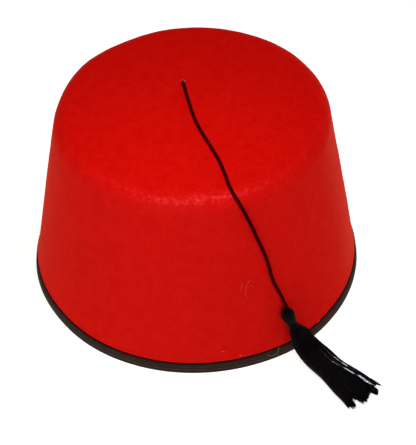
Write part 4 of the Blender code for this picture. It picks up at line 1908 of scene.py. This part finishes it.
    def in_lock(
        self, lock: Lock, along: Array, turn: Array, share: Array | float
    ) -> tuple[Array, Array]:
        """Places in a lock, as places in the bunch.

        Args:
            lock: the lock.
            along: distances after the neck.
            turn: angles round the lock's section.
            share: how far out from the lock's middle, where 1 is its outside.

        Returns:
            Shares of the bunch's half width and of its half thickness.
        """
        wave = self.lock_wave * np.sin(along / self.lock_wave_length + self.lock_wave_shift * lock.number)
        wave = wave * smooth_step(along, *self.lock_wave_span)
        width, thick = self.at(along, self.half_width), self.at(along, self.half_thickness)
        x = (width * lock.half_width - self.thread_radius) * share * np.cos(turn)
        y = (thick * lock.half_thickness - self.thread_radius) * share * np.sin(turn)
        tilt = math.radians(lock.tilt_deg) * smooth_step(along, *self.lock_tilt_span)
        turned_x = x * np.cos(tilt) - y * np.sin(tilt)
        turned_y = x * np.sin(tilt) + y * np.cos(tilt)
        return lock.across + wave - turned_x / width, lock.rise + 0.5 * wave + turned_y / thick

    def on_thread(self, lock: Lock, thread: Thread, along: Array) -> tuple[Array, Array]:
        """Places along a thread before it draws together with others, as places in the bunch.

        Args:
            lock: its lock.
            thread: where it lies there.
            along: distances after the neck.

        Returns:
            Shares of the bunch's half width and of its half thickness.
        """
        drift = self.drift * np.sin(along / self.drift_length + self.drift_shift * lock.number)
        waver = self.waver * np.sin(along / self.waver_length + thread.phase)
        return self.in_lock(lock, along, thread.turn + drift + waver, thread.share)

    def add_core(self, strands: Strands, lock: Lock) -> None:
        """Add the dark inside of a lock, which closes the gaps between its threads.

        Args:
            strands: the mesh that it goes in.
            lock: the lock.
        """
        end = float(self.ends_at(lock.across)) - self.core_short
        along = np.linspace(self.first_row - self.head_start, end, self.core_rows)[:, None]
        turn = (2 * math.pi * np.arange(self.core_sides) / self.core_sides)[None, :]
        taper = self.core_taper * smooth_step(along, end - self.core_taper_length, end)
        share = self.core_share * (1.0 - taper) + 0 * turn
        across, rise = self.in_lock(lock, along, turn, share)
        strands.add(self.place(along + 0 * turn, across, rise))

    def add_thread(self, strands: Strands, lock: Lock, layer: Layer, thread: Thread, short: float) -> None:
        """Add one thread of a lock.

        Args:
            strands: the mesh that it goes in.
            lock: its lock.
            layer: its layer.
            thread: where it lies in the lock.
            short: how much shorter it is than the floss round it.
        """
        across, _ = self.on_thread(lock, thread, np.array([self.measured_at]))
        end = float(self.ends_at(across[0])) - short
        start = self.first_row - self.head_start if layer.reach is None else end - layer.reach
        along = np.linspace(start, end, layer.points)
        across, rise = self.on_thread(lock, thread, along)
        gather = smooth_step(along, end - self.gather_length, end)
        clump = self.clumps[np.argmin(np.abs(np.array(self.clumps) - across[-1]))]
        across = across + (clump - across) * self.clump_pull * gather
        rise = rise * (1.0 - self.flattening * gather) - self.sinking * gather
        thin = smooth_step(along, 0.0, self.neck_thin_length)
        thin = self.neck_thinness + (1.0 - self.neck_thinness) * thin
        tip = smooth_step(along, end - self.tip_thin_length, end)
        thin = thin * (1.0 - (1.0 - self.tip_thinness) * tip)
        strands.add_tube(self.place(along, across, rise), self.thread_radius * thin, self.thread_sides)

    def add_threads(self, outer: Strands, inner: Strands, lock: Lock, random: np.random.Generator) -> None:
        """Add a lock's threads: a layer all the way along it, and a layer under that at its end.

        Args:
            outer: the mesh that the whole threads go in.
            inner: the mesh that the short ones go in.
            lock: the lock.
            random: where their small differences come from.
        """
        wide = lock.half_width * self.half_width[-1]
        thick = lock.half_thickness * self.half_thickness[-1]
        count = round(2 * math.pi * math.sqrt((wide**2 + thick**2) / 2) / self.thread_pitch)
        for k in range(count):
            turn = 2 * math.pi * (k + random.uniform(-self.turn_spread, self.turn_spread)) / count
            share = 1.0 + random.uniform(*self.share_spread)
            phase = random.uniform(0.0, self.phase_spread)
            for strands, layer in ((outer, self.whole_threads), (inner, self.short_threads)):
                if k % layer.every:
                    continue
                short = abs(random.normal(0.0, self.end_spread_mm)) * MM
                thread = Thread(turn, phase, layer.share * share)
                self.add_thread(strands, lock, layer, thread, short)

    def add_wisp(self, strands: Strands, wisp: Sequence[Sequence[float]]) -> None:
        """Add one flat wisp on top of the locks, pointed at both ends.

        Args:
            strands: the mesh that it goes in.
            wisp: its rows of the table.
        """
        rows = np.array(wisp)
        along_mm = np.linspace(rows[0, 0], rows[-1, 0], self.wisp_rows)
        across, rise, half_width, turned_deg = (
            np.interp(along_mm, rows[:, 0], column) for column in rows[:, 1:].T
        )
        path = self.place(along_mm * MM, across, rise)
        along = unit(np.gradient(path, axis=0))
        facing = np.broadcast_to(np.array(self.wisp_facing), along.shape)
        up = unit(facing - along * np.sum(facing * along, axis=1)[:, None])
        beside = np.cross(along, up)
        spin = np.radians(turned_deg)[:, None]
        up, beside = up * np.cos(spin) - beside * np.sin(spin), beside * np.cos(spin) + up * np.sin(spin)
        turn = 2 * math.pi * np.arange(self.wisp_sides) / self.wisp_sides
        x, y = np.cos(turn), np.sign(np.sin(turn)) * np.abs(np.sin(turn)) ** self.wisp_squareness
        full = smooth_step(along_mm, *(rows[0, 0] + np.array(self.wisp_start_mm)))
        full = full * (1.0 - smooth_step(along_mm, *(rows[-1, 0] + np.array(self.wisp_end_mm))))
        rings = path[:, None] - (half_width * MM)[:, None, None] * x[None, :, None] * beside[:, None]
        rings = rings + self.wisp_thickness * full[:, None, None] * y[None, :, None] * up[:, None]
        strands.add(rings)

    def add_strays(self, strands: Strands, random: np.random.Generator) -> None:
        """Add threads that lie on the bunch from end to end, a little apart from the rest.

        Args:
            strands: the mesh that they go in.
            random: where their places come from.
        """
        for _ in range(self.stray_threads):
            turn = random.uniform(0.0, math.pi)
            across = self.stray_share[0] * math.cos(turn)
            rise = self.stray_share[1] * math.sin(turn) ** self.stray_squareness
            end = float(self.ends_at(across)) - random.uniform(0.0, self.stray_short_mm) * MM
            along = np.linspace(self.stray_start, end, self.stray_points)
            phase = random.uniform(0.0, self.phase_spread)
            wave_length = random.uniform(*self.stray_wave_lengths_mm) * MM
            wave = self.stray_wave * np.sin(along / wave_length + phase)
            flat = 1.0 - self.stray_flattening * smooth_step(along, end - self.stray_flat_length, end)
            path = self.place(along, across + wave, (rise + self.stray_rise_wave * wave) * flat)
            strands.add_tube(path, self.stray_radius, self.stray_sides)

    def build(self) -> list[bpy.types.Object]:
        """Build the threads, what lies under them and the wisps.

        Returns:
            The three pieces.
        """
        random = np.random.default_rng(SEED)
        floss, inside, wisps = Strands(), Strands(), Strands()
        for lock in self.locks:
            self.add_core(inside, lock)
            self.add_threads(floss, inside, lock, random)
        self.add_strays(inside, random)
        for wisp in self.wisps:
            self.add_wisp(wisps, wisp)
        finish = bpy.data.materials[FLOSS_RAYON.name]
        threads = floss.to_object("skirt_threads", finish)
        core = inside.to_object("skirt_core", finish)
        combed = wisps.to_object("skirt_wisps", COMBED_RAYON.material())
        settle(threads, Slot.FLOSS, "tassel_skirt")
        return [threads, settle(core, Slot.FLOSS), settle(combed, Slot.FLOSS)]


# --- the whole ---------------------------------------------------------------------------------


def main() -> None:
    """Build the studio and every piece of the hat."""
    logging.basicConfig(level=logging.INFO, format="%(message)s")
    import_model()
    Studio().build()
    cord = TasselCord()
    laid = cord.build()
    knot = cord.build_stop_knot()
    head = TasselHead()
    on_cord = [knot, *head.build(), head.build_neck(), *TasselSkirt().build()]
    crown = FeltCrown()
    felt = crown.build()
    binding = RimBinding(crown)
    tape = binding.build()
    stitches = binding.build_stitches()
    LooseFibres(crown, binding).build()


if __name__ == "__main__":
    main()
